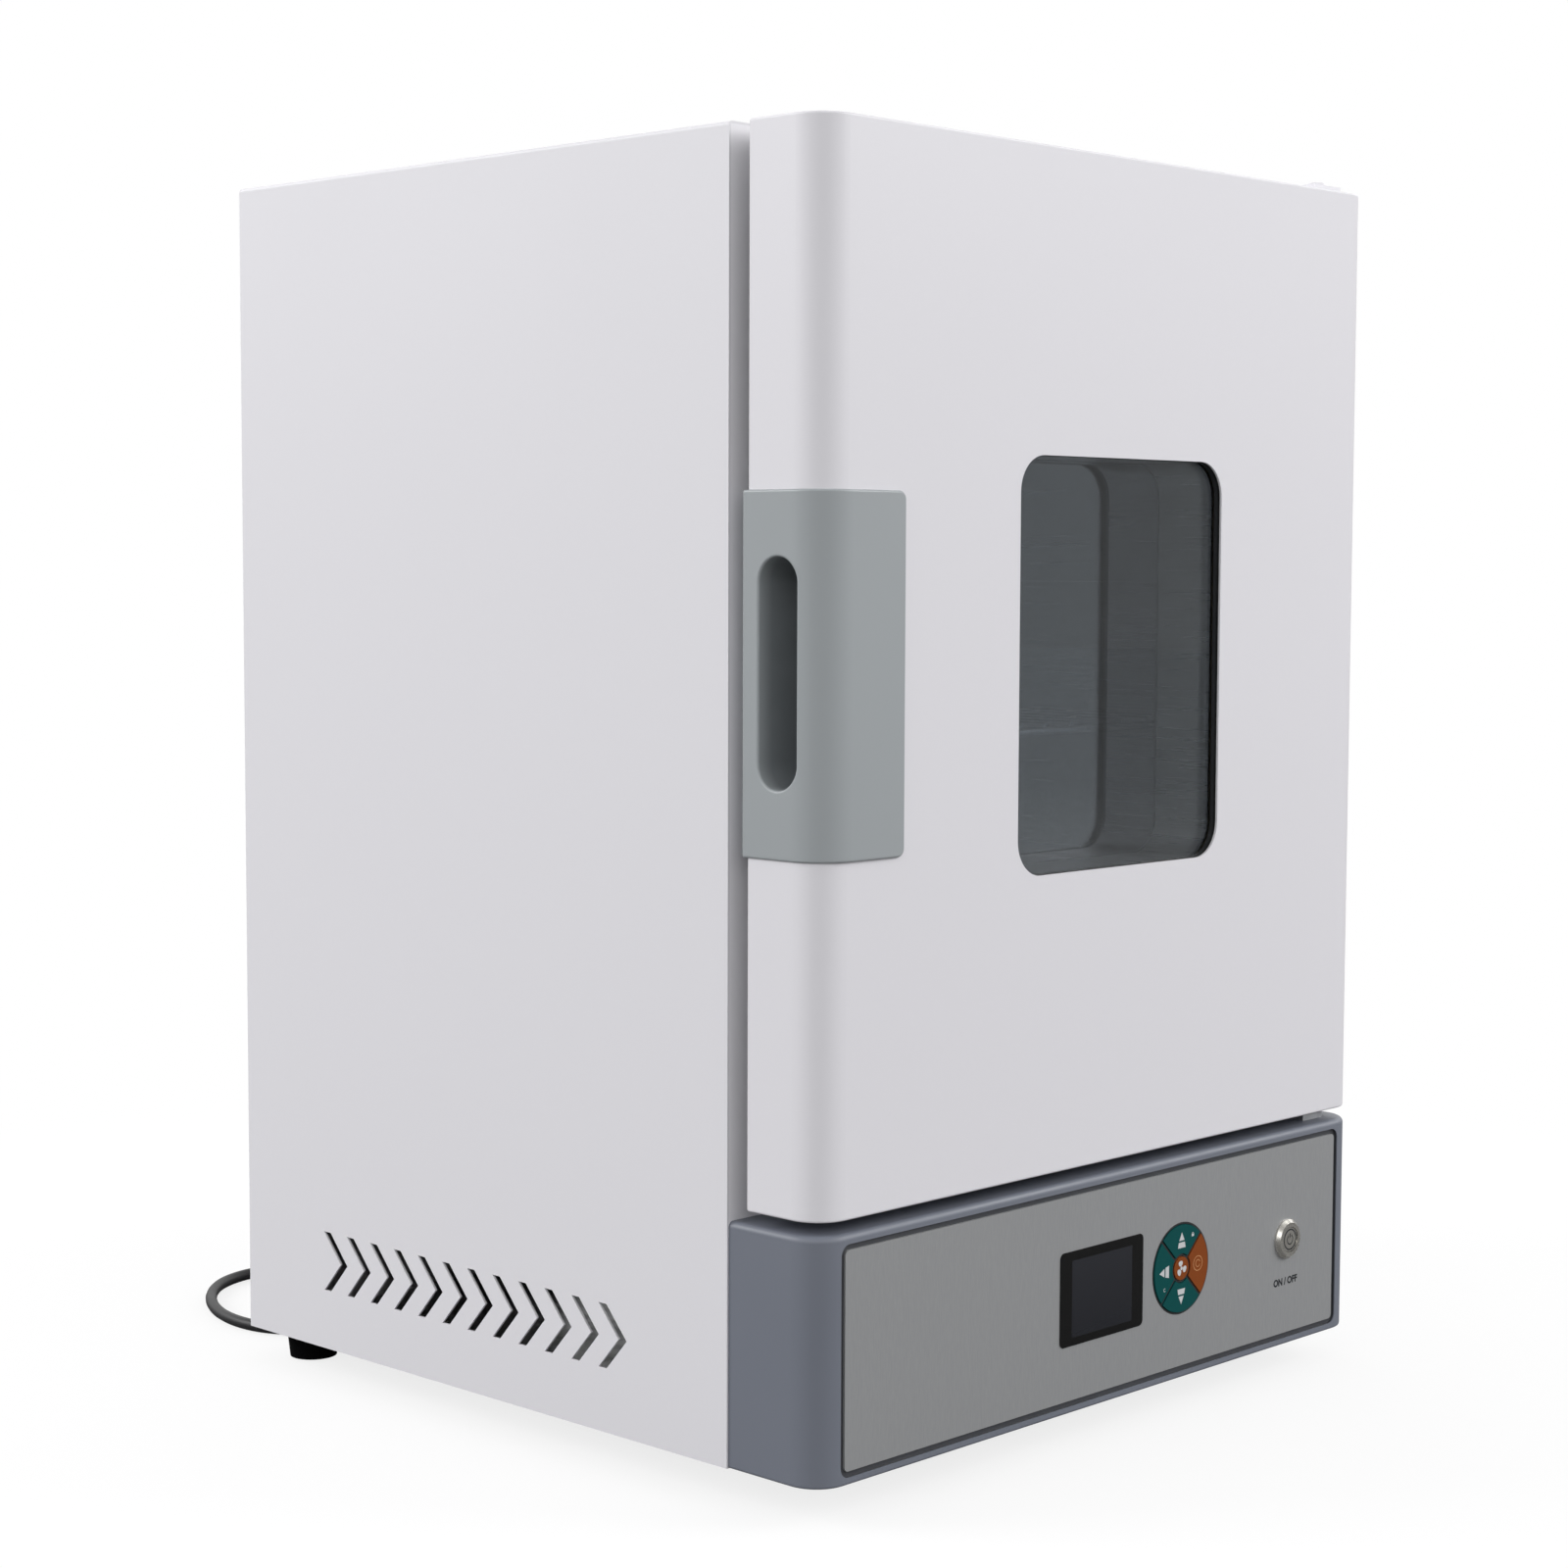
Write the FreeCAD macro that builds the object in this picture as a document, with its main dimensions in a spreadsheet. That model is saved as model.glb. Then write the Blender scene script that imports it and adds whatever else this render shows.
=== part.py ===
import FreeCAD, Part
import math
import os
import re
import Sketcher
from FreeCAD import Vector

# A benchtop forced-air drying oven: a sheet steel casing on rubber feet, a stainless chamber with wire
# shelves, a rear fan and ring heater behind a perforated baffle, a glazed side-hung door with a moulded
# corner handle, and a moulded control bezel under the door. Millimetres, +Z up, front towards -Y.
# The origin is on the floor, at the middle of the oven's width and of its whole depth.

SIZES = {
    # casing
    "side_space": 15, "roof_space": 6.5, "works_depth": 42, "works_rim": 22.5, "sheet": 1.2,
    "casing_round": 2, "screw_inset": 15,
    "foot_height": 18, "foot_radius": 15, "foot_taper": 2, "foot_recess": 5,
    "rear_foot_inset": 28.9, "rear_foot_back": 19.4, "front_foot_inset": 72, "front_foot_back": 52,
    # chevron vents in both sides
    "vent_count": 12, "vent_pitch": 20.04, "vent_start": 69.3, "vent_low": 32.2, "vent_tall": 32.3,
    "vent_reach": 14.5, "vent_slot": 5.8, "rear_slots": 8,
    # chamber
    "chamber_width": 320, "chamber_height": 400, "chamber_depth": 290, "chamber_low": 177.5,
    "chamber_round": 4, "liner_sheet": 1, "liner_flange": 20, "wool": 45, "shaft_room": 4,
    # door
    "face_depth": 58.2, "door_gap": 11.9, "door_inset": 1.45, "bezel_gap": 6.4, "corner_round": 17.5,
    "inner_sheet": 1, "door_edge_round": 1.2,
    # window
    "window_width": 164.2, "window_height": 205.6, "window_shift": 2.4, "window_middle": 377.8,
    "window_round": 18, "glass": 4, "inner_glass": 3, "glass_lap": 8, "window_seal": 3.5, "sleeve_wall": 1,
    # gasket and catch
    "gasket_width": 12, "gasket_offset": 4, "clearance": 0.3,
    "catch_width": 16, "catch_height": 44, "keeper": 4, "keeper_extra": 4,
    # handle
    "handle_width": 56.5, "handle_low": 291.5, "handle_height": 170, "handle_front": 2, "handle_side": 1.4,
    "handle_rear": 8.5, "handle_lap": 4.5, "handle_lip": 12, "handle_rear_round": 1.8,
    "handle_corner": 4.2, "handle_edge_round": 1.2, "grip_edge_round": 1.2,
    "grip_width": 23.9, "grip_height": 107.2, "grip_back": 31.25, "grip_middle": 377.3, "grip_depth": 28,
    # hinges
    "hinge_inset": 27.5, "hinge_forward": 40, "pin_radius": 4, "running": 0.05, "bush_radius": 7,
    "bush_length": 20, "hinge_width": 25, "hinge_plate": 3, "hinge_lift": 1, "hinge_nose": 7.5,
    "hinge_tail": 30, "lower_hinge_width": 18, "hinge_tab": 5.5, "pin_head": 2,
    # control bezel
    "bezel_height": 118.7, "bezel_inset": 1, "bezel_wall": 2.6, "bezel_edge_round": 3,
    "label_left_inset": 18.6, "label_right_inset": 20.4, "label_low": 6.5, "label_high": 7.7,
    "label_round": 2.5,
    "label_sheet": 1.2, "groove": 2.9, "groove_deep": 1.5, "control_middle": 58.8,
    "screen_width": 68, "screen_height": 48.4, "screen_shift": -9, "screen_round": 3, "screen_glass": 1.6,
    "panel_width": 58, "panel_height": 44, "panel_deep": 6,
    "keypad_radius": 24.5, "keypad_shift": 58, "keypad_deep": 7, "key_gap": 1.7, "key_rim": 1,
    "middle_key_radius": 6.2, "key_ring": 1.6, "key_tall": 3, "key_travel": 0.5, "key_proud": 0.6,
    "switch_inset": 45.1, "switch_radius": 10.9, "switch_proud": 3, "switch_taper": 1.8,
    "barrel_radius": 8, "barrel_length": 26, "cap_radius": 6.6, "cap_travel": 2,
    "cap_length": 9, "nut_width": 22, "nut_thick": 4,
    # air duct, fan and heater
    "baffle_width": 276, "baffle_height": 372, "baffle_deep": 55, "baffle_round": 8, "intake_hole": 6,
    "intake_pitch": 20,
    "outlet_count": 10, "outlet_pitch": 30, "outlet_length": 40, "outlet_slot": 7, "outlet_inset": 14,
    "fan_radius": 55, "fan_eye": 34, "fan_width": 26, "fan_plate": 1.5, "blade_count": 18, "blade": 1.2,
    "blade_lean": 38, "blade_bend": 27.3, "blade_step": 4,
    "hub_radius": 11, "fan_back": 20, "shaft_radius": 4, "shaft_hole": 7,
    "heater_radius": 78, "heater_tube": 4, "heater_back": 32, "heater_gap": 24,
    "probe_radius": 2.4, "probe_shift": 104, "probe_up": 152, "probe_ahead": 25,
    "motor_radius": 36, "motor_length": 52, "motor_bell": 6, "motor_slope": 6, "motor_gap": 2,
    "motor_hole": 6, "bracket": 2, "bracket_width": 124, "bracket_height": 96, "bracket_foot": 14,
    "cooling_radius": 27, "cooling_width": 8, "cooling_hub": 3, "cooling_gap": 2, "cooling_chord": 10,
    "cooling_tilt": 35, "cooling_blade": 1.4, "shaft_end": 3,
    "cover_width": 150, "cover_room": 7, "cover_flange": 12, "cover_slots": 9, "cover_round": 6,
    # exhaust
    "exhaust_back": 175, "exhaust_radius": 14, "exhaust_wall": 1.2, "exhaust_flange": 25,
    "damper_radius": 23, "damper_tall": 13, "damper_wall": 2, "damper_window": 12, "damper_slope": 3,
    "flute_radius": 1.6, "stem_radius": 3, "bridge": 7, "bridge_thick": 4,
    # shelves
    "shelf_pitch": 160, "shelf_low": 162.5, "shelf_wire": 2.5, "shelf_rod": 1.5, "shelf_rods": 13,
    "shelf_front": 12, "shelf_back": 8, "shelf_side": 7, "shelf_round": 9, "weld": 0.4,
    "rail_width": 5, "rail_thick": 1, "rail_foot": 12, "rail_floor_gap": 42.5,
    "rail_roof_gap": 13.5,
    # electronics
    "board_width": 170, "board_height": 84, "board_thick": 1.6, "board_back": 24, "post_radius": 3.5,
    "board_shift": 30, "post_inset": 6, "relay_width": 62, "relay_depth": 70, "relay_height": 42,
    "relay_back": 90, "fin": 2, "fin_count": 11, "terminal_width": 84, "terminal_depth": 22,
    "terminal_height": 20, "terminal_back": 50, "terminal_shift": 20, "terminal_slot": 2,
    # cord
    "cord_radius": 3.4, "gland_shift": -56, "gland_height": 30, "gland_radius": 10, "gland_length": 22,
    "gland_flange": 4, "gland_nut": 5, "gland_inside": 8,
    "coil_radius": 37.5, "coil_width": 20.4, "coil_height": 13.2, "coil_shift": 79, "coil_back": 67,
    "plug_length": 44, "plug_width": 28, "plug_height": 20, "plug_back": 38, "plug_round": 5,
    "pin_length": 18, "pin_width": 6, "pin_thick": 2, "pin_lift": 3, "pin_pitch": 8.4,
    "screw_radius": 4, "screw_head": 2,
}

FORMULAS = {
    "casing_width": "chamber_width + 2 * (liner_sheet + wool + side_space)",
    "casing_depth": "chamber_depth + liner_sheet + wool + works_depth",
    "casing_height": "chamber_low + chamber_height + liner_sheet + wool + roof_space",
    "motor_reach": "motor_gap + bracket + motor_length + cooling_width + shaft_end",
    "cover_depth": "motor_reach + cover_room - works_depth",
    "left": "-casing_width / 2",
    "right": "casing_width / 2",
    "front_reach": "face_depth - groove_deep + label_sheet + switch_proud",
    "front": "(front_reach - casing_depth - cover_depth) / 2",
    "rear": "front + casing_depth",
    "bottom": "foot_height",
    "top": "bottom + casing_height",
    "face": "front - face_depth",
    "door_left": "left + door_inset",
    "door_right": "right - door_inset",
    "door_rear": "front - door_gap",
    "door_bottom": "bottom + bezel_height + bezel_gap",
    "chamber_left": "-chamber_width / 2",
    "chamber_right": "chamber_width / 2",
    "chamber_floor": "bottom + chamber_low",
    "chamber_roof": "chamber_floor + chamber_height",
    "chamber_back": "front + chamber_depth",
    "wool_back": "chamber_back + liner_sheet + wool",
    "window_left": "window_shift - window_width / 2",
    "window_right": "window_shift + window_width / 2",
    "window_low": "bottom + window_middle - window_height / 2",
    "window_high": "bottom + window_middle + window_height / 2",
    "glass_front": "face + sheet + window_seal",
    "glass_back": "glass_front + glass",
    "panel_front": "door_rear - inner_sheet",
    "inner_glass_front": "panel_front - inner_glass",
    "handle_left": "door_left - handle_side",
    "handle_right": "left + handle_width",
    "handle_bottom": "bottom + handle_low",
    "handle_top": "handle_bottom + handle_height",
    "handle_core": "handle_right - handle_lap",
    "catch_line": "(door_left + sheet + chamber_left - gasket_offset - gasket_width) / 2",
    "hinge_axis": "right - hinge_inset",
    "hinge_line": "front - hinge_forward",
    "bezel_left": "left + bezel_inset",
    "bezel_right": "right - bezel_inset",
    "bezel_top": "bottom + bezel_height",
    "control_line": "bottom + control_middle",
    "label_left": "bezel_left + label_left_inset",
    "label_right": "bezel_right - label_right_inset",
    "label_bottom": "bottom + label_low",
    "label_top": "bezel_top - label_high",
    "switch_line": "label_right - switch_inset",
    "label_back": "face + groove_deep",
    "label_front": "label_back - label_sheet",
    "fan_line": "chamber_floor + chamber_height / 2",
    "fan_rear": "chamber_back - fan_back",
    "fan_front": "fan_rear - fan_width",
    "baffle_front": "chamber_back - baffle_deep",
    "motor_front": "wool_back + motor_gap + bracket",
    "motor_rear": "motor_front + motor_length",
    "heater_leg_line": "fan_line - sqrt(heater_radius ^ 2 - (heater_gap / 2) ^ 2)",
    "exhaust_line": "front + exhaust_back",
    "shelf_depth": "chamber_depth - baffle_deep - shelf_front - shelf_back",
    "rod_lift": "shelf_wire + shelf_rod - 2 * weld",
    "board_front": "face + board_back",
    "key_top": "label_front - key_proud",
    "gland_line": "bottom + gland_height",
    "coil_line": "rear + coil_back",
}

doc = FreeCAD.newDocument("drying_oven")
sheet = doc.addObject("Spreadsheet::Sheet", "Sizes")
for row, (alias, number) in enumerate(SIZES.items(), start=1):
    sheet.set(f"A{row}", alias)
    sheet.set(f"B{row}", str(number))
    sheet.setAlias(f"B{row}", alias)
doc.recompute()

PARTS = []
TURNS = {
    "X": FreeCAD.Rotation(Vector(0, 1, 0), 90),
    "Y": FreeCAD.Rotation(Vector(1, 0, 0), -90),
    "Z": FreeCAD.Rotation(),
}


def formula(text):
    """Writes a formula in plain names as an expression on the sheet's cells."""
    def swap(match):
        word = match.group()
        if word in SIZES:
            return "Sizes." + word
        if word in FORMULAS:
            return "(" + formula(FORMULAS[word]) + ")"
        return word
    return re.sub(r"[a-z][a-z_]*", swap, str(text))


def amount(text):
    """The number that a formula gives."""
    return float(sheet.evalExpression(formula(text)))


def between(low, high):
    return f"({high}) - ({low})"


def bind(item, **formulas):
    for name, text in formulas.items():
        item.setExpression(name, formula(text))


def place(item, x, y, z):
    for letter, text in zip("xyz", (x, y, z)):
        item.setExpression("Placement.Base." + letter, formula(text))


def block(name, x, y, z):
    """A box between three pairs of levels."""
    item = doc.addObject("Part::Box", name)
    bind(item, Length=between(*x), Width=between(*y), Height=between(*z))
    place(item, x[0], y[0], z[0])
    return item


def start_of(axis, across, low):
    """The three coordinates of a point at a level on an axis, with the other two in order."""
    if axis == "X":
        return low, across[0], across[1]
    if axis == "Y":
        return across[0], low, across[1]
    return across[0], across[1], low


def rod(name, axis, across, low, high, radius):
    """A cylinder along an axis, with its centre's other two coordinates given in order."""
    item = doc.addObject("Part::Cylinder", name)
    item.Placement = FreeCAD.Placement(Vector(), TURNS[axis])
    bind(item, Radius=radius, Height=between(low, high))
    place(item, *start_of(axis, across, low))
    return item


def cone(name, axis, across, low, high, low_radius, high_radius):
    item = doc.addObject("Part::Cone", name)
    item.Placement = FreeCAD.Placement(Vector(), TURNS[axis])
    bind(item, Radius1=low_radius, Radius2=high_radius, Height=between(low, high))
    place(item, *start_of(axis, across, low))
    return item


def plus(name, *items):
    item = doc.addObject("Part::MultiFuse", name)
    item.Shapes = list(items)
    item.Refine = True
    return item


def minus(name, base, *tools):
    item = doc.addObject("Part::Cut", name)
    item.Base = base
    item.Tool = tools[0] if len(tools) == 1 else plus(name + "_tools", *tools)
    item.Refine = True
    return item


def common(name, *items):
    item = doc.addObject("Part::MultiCommon", name)
    item.Shapes = list(items)
    return item


def group(name, *items):
    item = doc.addObject("Part::Compound", name)
    item.Links = list(items)
    return item


def keep(item, name):
    """Names a finished sub-part and puts it on the list of what is written."""
    item.Label = name
    PARTS.append(item)
    return item


def new_body(name):
    return doc.addObject("PartDesign::Body", name + "_body")


def outline(*corners):
    """A loop of level and upright edges; each corner is x, y and its round, or none."""
    def draw(sketch):
        points = [Vector(amount(c[0]), amount(c[1]), 0) for c in corners]
        rounds = [c[2] if len(c) > 2 else None for c in corners]
        radii = [amount(r) if r else 0 for r in rounds]
        count = len(corners)
        ways = [(points[(i + 1) % count] - points[i]).normalize() for i in range(count)]
        edges = []
        for i in range(count):
            start = points[i] + ways[i] * radii[i]
            end = points[(i + 1) % count] - ways[i] * radii[(i + 1) % count]
            edges.append(sketch.addGeometry(Part.LineSegment(start, end)))
        for i, edge in enumerate(edges):
            level = corners[i][1] == corners[(i + 1) % count][1]
            sketch.addConstraint(Sketcher.Constraint("Horizontal" if level else "Vertical", edge))
            tie(sketch, edge, 1, "Y" if level else "X", corners[i][1 if level else 0])
        for i in range(count):
            before = edges[i - 1]
            after = edges[i]
            if not rounds[i]:
                sketch.addConstraint(Sketcher.Constraint("Coincident", before, 2, after, 1))
                continue
            way_in = ways[i - 1]
            way_out = ways[i]
            centre = points[i] + (way_out - way_in) * radii[i]
            first = points[i] - way_in * radii[i] - centre
            last = points[i] + way_out * radii[i] - centre
            left_turn = way_in.x * way_out.y - way_in.y * way_out.x > 0
            if not left_turn:
                first, last = last, first
            circle_line = Part.Circle(centre, Vector(0, 0, 1), radii[i])
            angles = (math.atan2(first.y, first.x), math.atan2(last.y, last.x))
            arc = sketch.addGeometry(Part.ArcOfCircle(circle_line, *angles))
            ends = (1, 2) if left_turn else (2, 1)
            sketch.addConstraint(Sketcher.Constraint("Tangent", before, 2, arc, ends[0]))
            sketch.addConstraint(Sketcher.Constraint("Tangent", arc, ends[1], after, 1))
            number = sketch.addConstraint(Sketcher.Constraint("Radius", arc, radii[i]))
            sketch.setExpression(f"Constraints[{number}]", formula(rounds[i]))
    return draw


def tie(sketch, shape, point, letter, text):
    """Holds a point of a sketch at a formula's distance from the sketch's origin."""
    rule = Sketcher.Constraint("Distance" + letter, -1, 1, shape, point, amount(text))
    number = sketch.addConstraint(rule)
    sketch.setExpression(f"Constraints[{number}]", formula(text))


def rounded(low_x, high_x, low_y, high_y, radius):
    """A rectangle with four equal rounds."""
    return outline((low_x, low_y, radius), (high_x, low_y, radius),
                   (high_x, high_y, radius), (low_x, high_y, radius))


def rectangle(low_x, high_x, low_y, high_y):
    return outline((low_x, low_y), (high_x, low_y), (high_x, high_y), (low_x, high_y))


def circle(x, y, radius):
    def draw(sketch):
        centre = Vector(amount(x), amount(y), 0)
        shape = sketch.addGeometry(Part.Circle(centre, Vector(0, 0, 1), amount(radius)))
        tie(sketch, shape, 3, "X", x)
        tie(sketch, shape, 3, "Y", y)
        number = sketch.addConstraint(Sketcher.Constraint("Radius", shape, amount(radius)))
        sketch.setExpression(f"Constraints[{number}]", formula(radius))
    return draw


def polygon(*points):
    """A loop of straight edges through points that are each tied to the sketch's origin."""
    def draw(sketch):
        spots = [Vector(amount(x), amount(y), 0) for x, y in points]
        count = len(spots)
        edges = [sketch.addGeometry(Part.LineSegment(spots[i], spots[(i + 1) % count]))
                 for i in range(count)]
        for i, (x, y) in enumerate(points):
            sketch.addConstraint(Sketcher.Constraint("Coincident", edges[i - 1], 2, edges[i], 1))
            tie(sketch, edges[i], 1, "X", x)
            tie(sketch, edges[i], 1, "Y", y)
    return draw


def new_sketch(body, plane, level):
    """A sketch on one of the body's own origin planes, moved along that plane's axis."""
    sketch = body.newObject("Sketcher::SketchObject", body.Name + "_sketch")
    base = [f for f in body.Origin.OriginFeatures if f.Role == plane + "_Plane"][0]
    sketch.AttachmentSupport = [(base, "")]
    sketch.MapMode = "FlatFace"
    sign = "-" if plane == "XZ" else ""
    sketch.setExpression("AttachmentOffset.Base.z", formula(f"{sign}({level})"))
    return sketch


def prism(body, plane, low, high, *loops, cut=False):
    """Adds, or cuts away, the prism of some loops between two levels of the plane's axis."""
    sketch = new_sketch(body, plane, low)
    for loop in loops:
        loop(sketch)
    kind = "Pocket" if cut else "Pad"
    feature = body.newObject("PartDesign::" + kind, body.Name + "_" + kind.lower())
    feature.Profile = sketch
    feature.Reversed = (plane == "XZ") != cut
    before = body.Shape.Volume if cut else 0
    bind(feature, Length=between(low, high))
    doc.recompute()
    if cut and body.Shape.Volume > before - 1e-6:
        raise ValueError(f"{feature.Name} cuts nothing")
    return feature


def repeat(body, feature, axis, step, count):
    """A row of copies of a feature along one axis of the body."""
    pattern = body.newObject("PartDesign::LinearPattern", body.Name + "_row")
    pattern.Originals = [feature]
    line = [f for f in body.Origin.OriginFeatures if f.Role == axis + "_Axis"][0]
    pattern.Direction = (line, [""])
    bind(pattern, Length=f"({step}) * ({count} - 1)", Occurrences=count)
    body.Tip = pattern
    doc.recompute()
    return pattern


def spin(body, feature, count):
    """Copies of a feature round the body's Z axis."""
    pattern = body.newObject("PartDesign::PolarPattern", body.Name + "_round")
    pattern.Originals = [feature]
    line = [f for f in body.Origin.OriginFeatures if f.Role == "Z_Axis"][0]
    pattern.Axis = (line, [""])
    pattern.Angle = 360
    bind(pattern, Occurrences=count)
    body.Tip = pattern
    doc.recompute()
    return pattern


def soften(body, radius, wanted):
    """Rounds the edges of a body that a test picks by their middle point and shape."""
    names = []
    for number, edge in enumerate(body.Shape.Edges, start=1):
        middle = edge.valueAt((edge.FirstParameter + edge.LastParameter) / 2)
        if wanted(edge, middle):
            names.append(f"Edge{number}")
    carrier = body.Tip
    feature = body.newObject("PartDesign::Fillet", body.Name + "_round")
    feature.Base = (carrier, names)
    bind(feature, Radius=radius)
    body.Tip = feature
    doc.recompute()
    return feature


def at(value, text, slack=0.01):
    return abs(value - amount(text)) < slack


def make_casing():
    """One bent sheet for both sides and the roof, with a row of chevron vents low in each side."""
    body = new_body("outer_casing")
    prism(body, "XZ", "front", "rear", outline(
        ("left", "bottom"), ("left", "top", "casing_round"),
        ("right", "top", "casing_round"), ("right", "bottom"),
        ("right - sheet", "bottom"), ("right - sheet", "top - sheet"),
        ("left + sheet", "top - sheet"), ("left + sheet", "bottom")))
    tip = "front + vent_start"
    low = "bottom + vent_low"
    vent = prism(body, "YZ", "left - sheet", "right + sheet", polygon(
        (tip, f"{low} + vent_tall / 2"),
        (f"{tip} + vent_reach", f"{low} + vent_tall"),
        (f"{tip} + vent_reach + vent_slot", f"{low} + vent_tall"),
        (f"{tip} + vent_slot", f"{low} + vent_tall / 2"),
        (f"{tip} + vent_reach + vent_slot", low),
        (f"{tip} + vent_reach", low)), cut=True)
    repeat(body, vent, "Y", "vent_pitch", "vent_count")
    prism(body, "XY", "top - 2 * sheet", "top + sheet",
          circle("0", "exhaust_line", "exhaust_radius"), cut=True)
    keep(body, "outer_casing")


def make_frame():
    """The front frame: sheet strips welded edge to edge round the chamber's mouth and the works' opening."""
    wall = ("left + sheet", "right - sheet")
    mouth = ("chamber_left - liner_sheet", "chamber_right + liner_sheet")
    works = ("left + sheet + works_rim", "right - sheet - works_rim")
    levels = ("bottom + sheet", "bottom + sheet + works_rim", "bezel_top - works_rim",
              "chamber_floor - liner_sheet", "chamber_roof + liner_sheet", "top - sheet")
    strips = []
    for number, hole in enumerate((None, works, None, mouth, None)):
        spans = [(wall[0], hole[0]), (hole[1], wall[1])] if hole else [wall]
        for span in spans:
            strips.append(block("frame_strip", span, ("front", "front + sheet"),
                                (levels[number], levels[number + 1])))
    keep(group("front_frame", *strips), "front_frame")


def make_rear_panel():
    """The back plate, with the motor's hole, the cord gland's hole and a row of cooling slots."""
    body = new_body("rear_panel")
    prism(body, "XZ", "rear - sheet", "rear",
          rectangle("left + sheet", "right - sheet", "bottom + sheet", "top - sheet"),
          circle("0", "fan_line", "motor_radius + motor_hole"),
          circle("gland_shift", "gland_line", "gland_radius * 0.7"))
    slot = prism(body, "XZ", "rear - 2 * sheet", "rear + sheet", rounded(
        "vent_pitch", "vent_pitch + vent_slot", "bottom + vent_low", "bottom + vent_low + 2 * vent_tall",
        "vent_slot * 0.45"), cut=True)
    repeat(body, slot, "X", "vent_pitch", "rear_slots")
    keep(body, "rear_panel")


def make_base():
    body = new_body("base_plate")
    spots = [circle(x, y, "foot_recess / 2") for x, y in foot_places()]
    prism(body, "XY", "bottom", "bottom + sheet",
          rectangle("left + sheet", "right - sheet", "front", "rear"), *spots)
    keep(body, "base_plate")


def foot_places():
    return [
        ("left + front_foot_inset", "front + front_foot_back"),
        ("right - front_foot_inset", "front + front_foot_back"),
        ("left + rear_foot_inset", "rear - rear_foot_back"),
        ("right - rear_foot_inset", "rear - rear_foot_back"),
    ]


def make_feet():
    """Tapered rubber feet, each hollow for its screw's head, with the screw's stud up in the base."""
    names = ("foot_front_left", "foot_front_right", "foot_rear_left", "foot_rear_right")
    for name, spot in zip(names, foot_places()):
        foot = cone(name + "_cone", "Z", spot, "0", "foot_height",
                    "foot_radius - foot_taper", "foot_radius")
        hollow = rod(name + "_hollow", "Z", spot, "-1", "foot_height / 3", "foot_recess")
        stud = rod(name + "_stud", "Z", spot, "foot_height - 1", "foot_height + 4 * sheet",
                   "foot_recess / 2")
        keep(plus(name, minus(name + "_cup", foot, hollow), stud), name)


def make_liner():
    """The stainless chamber: a deep pan with a turned-out front flange and holes for what passes through."""
    body = new_body("chamber_liner")
    wall = "liner_sheet"
    prism(body, "XZ", f"front - {wall}", f"chamber_back + {wall}", rounded(
        f"chamber_left - {wall}", f"chamber_right + {wall}", f"chamber_floor - {wall}",
        f"chamber_roof + {wall}", f"chamber_round + {wall}"))
    prism(body, "XZ", f"front - {wall}", "front", rounded(
        "chamber_left - liner_flange", "chamber_right + liner_flange", "chamber_floor - liner_flange",
        "chamber_roof + liner_flange", "chamber_round + liner_flange"))
    prism(body, "XZ", f"front - 2 * {wall}", "chamber_back", rounded(
        "chamber_left", "chamber_right", "chamber_floor", "chamber_roof", "chamber_round"), cut=True)
    prism(body, "XZ", f"chamber_back - {wall}", f"chamber_back + 2 * {wall}",
          circle("0", "fan_line", "shaft_hole"),
          circle("probe_shift", "fan_line + probe_up", "probe_radius"),
          circle("heater_gap / 2", "heater_leg_line", "heater_tube + running"),
          circle("-heater_gap / 2", "heater_leg_line", "heater_tube + running"), cut=True)
    prism(body, "XY", f"chamber_roof - {wall}", f"chamber_roof + 2 * {wall}",
          circle("0", "exhaust_line", "exhaust_radius"), cut=True)
    keep(body, "chamber_liner")


def make_wool():
    """The mineral wool round the chamber, bored for the shaft, the probe, the heater and the exhaust."""
    body = new_body("chamber_insulation")
    wall = "liner_sheet"
    prism(body, "XZ", "front + sheet", "wool_back", rectangle(
        f"chamber_left - {wall} - wool", f"chamber_right + {wall} + wool",
        f"chamber_floor - {wall} - wool", f"chamber_roof + {wall} + wool"))
    prism(body, "XZ", "front", f"chamber_back + {wall}", rounded(
        f"chamber_left - {wall}", f"chamber_right + {wall}", f"chamber_floor - {wall}",
        f"chamber_roof + {wall}", f"chamber_round + {wall}"), cut=True)
    prism(body, "XZ", "chamber_back", "wool_back + sheet",
          circle("0", "fan_line", "shaft_hole + shaft_room"),
          circle("probe_shift", "fan_line + probe_up", "probe_radius"),
          circle("heater_gap / 2", "heater_leg_line", "heater_tube + running"),
          circle("-heater_gap / 2", "heater_leg_line", "heater_tube + running"), cut=True)
    prism(body, "XY", f"chamber_roof + {wall}", "top",
          circle("0", "exhaust_line", "exhaust_radius"), cut=True)
    keep(body, "chamber_insulation")


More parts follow.
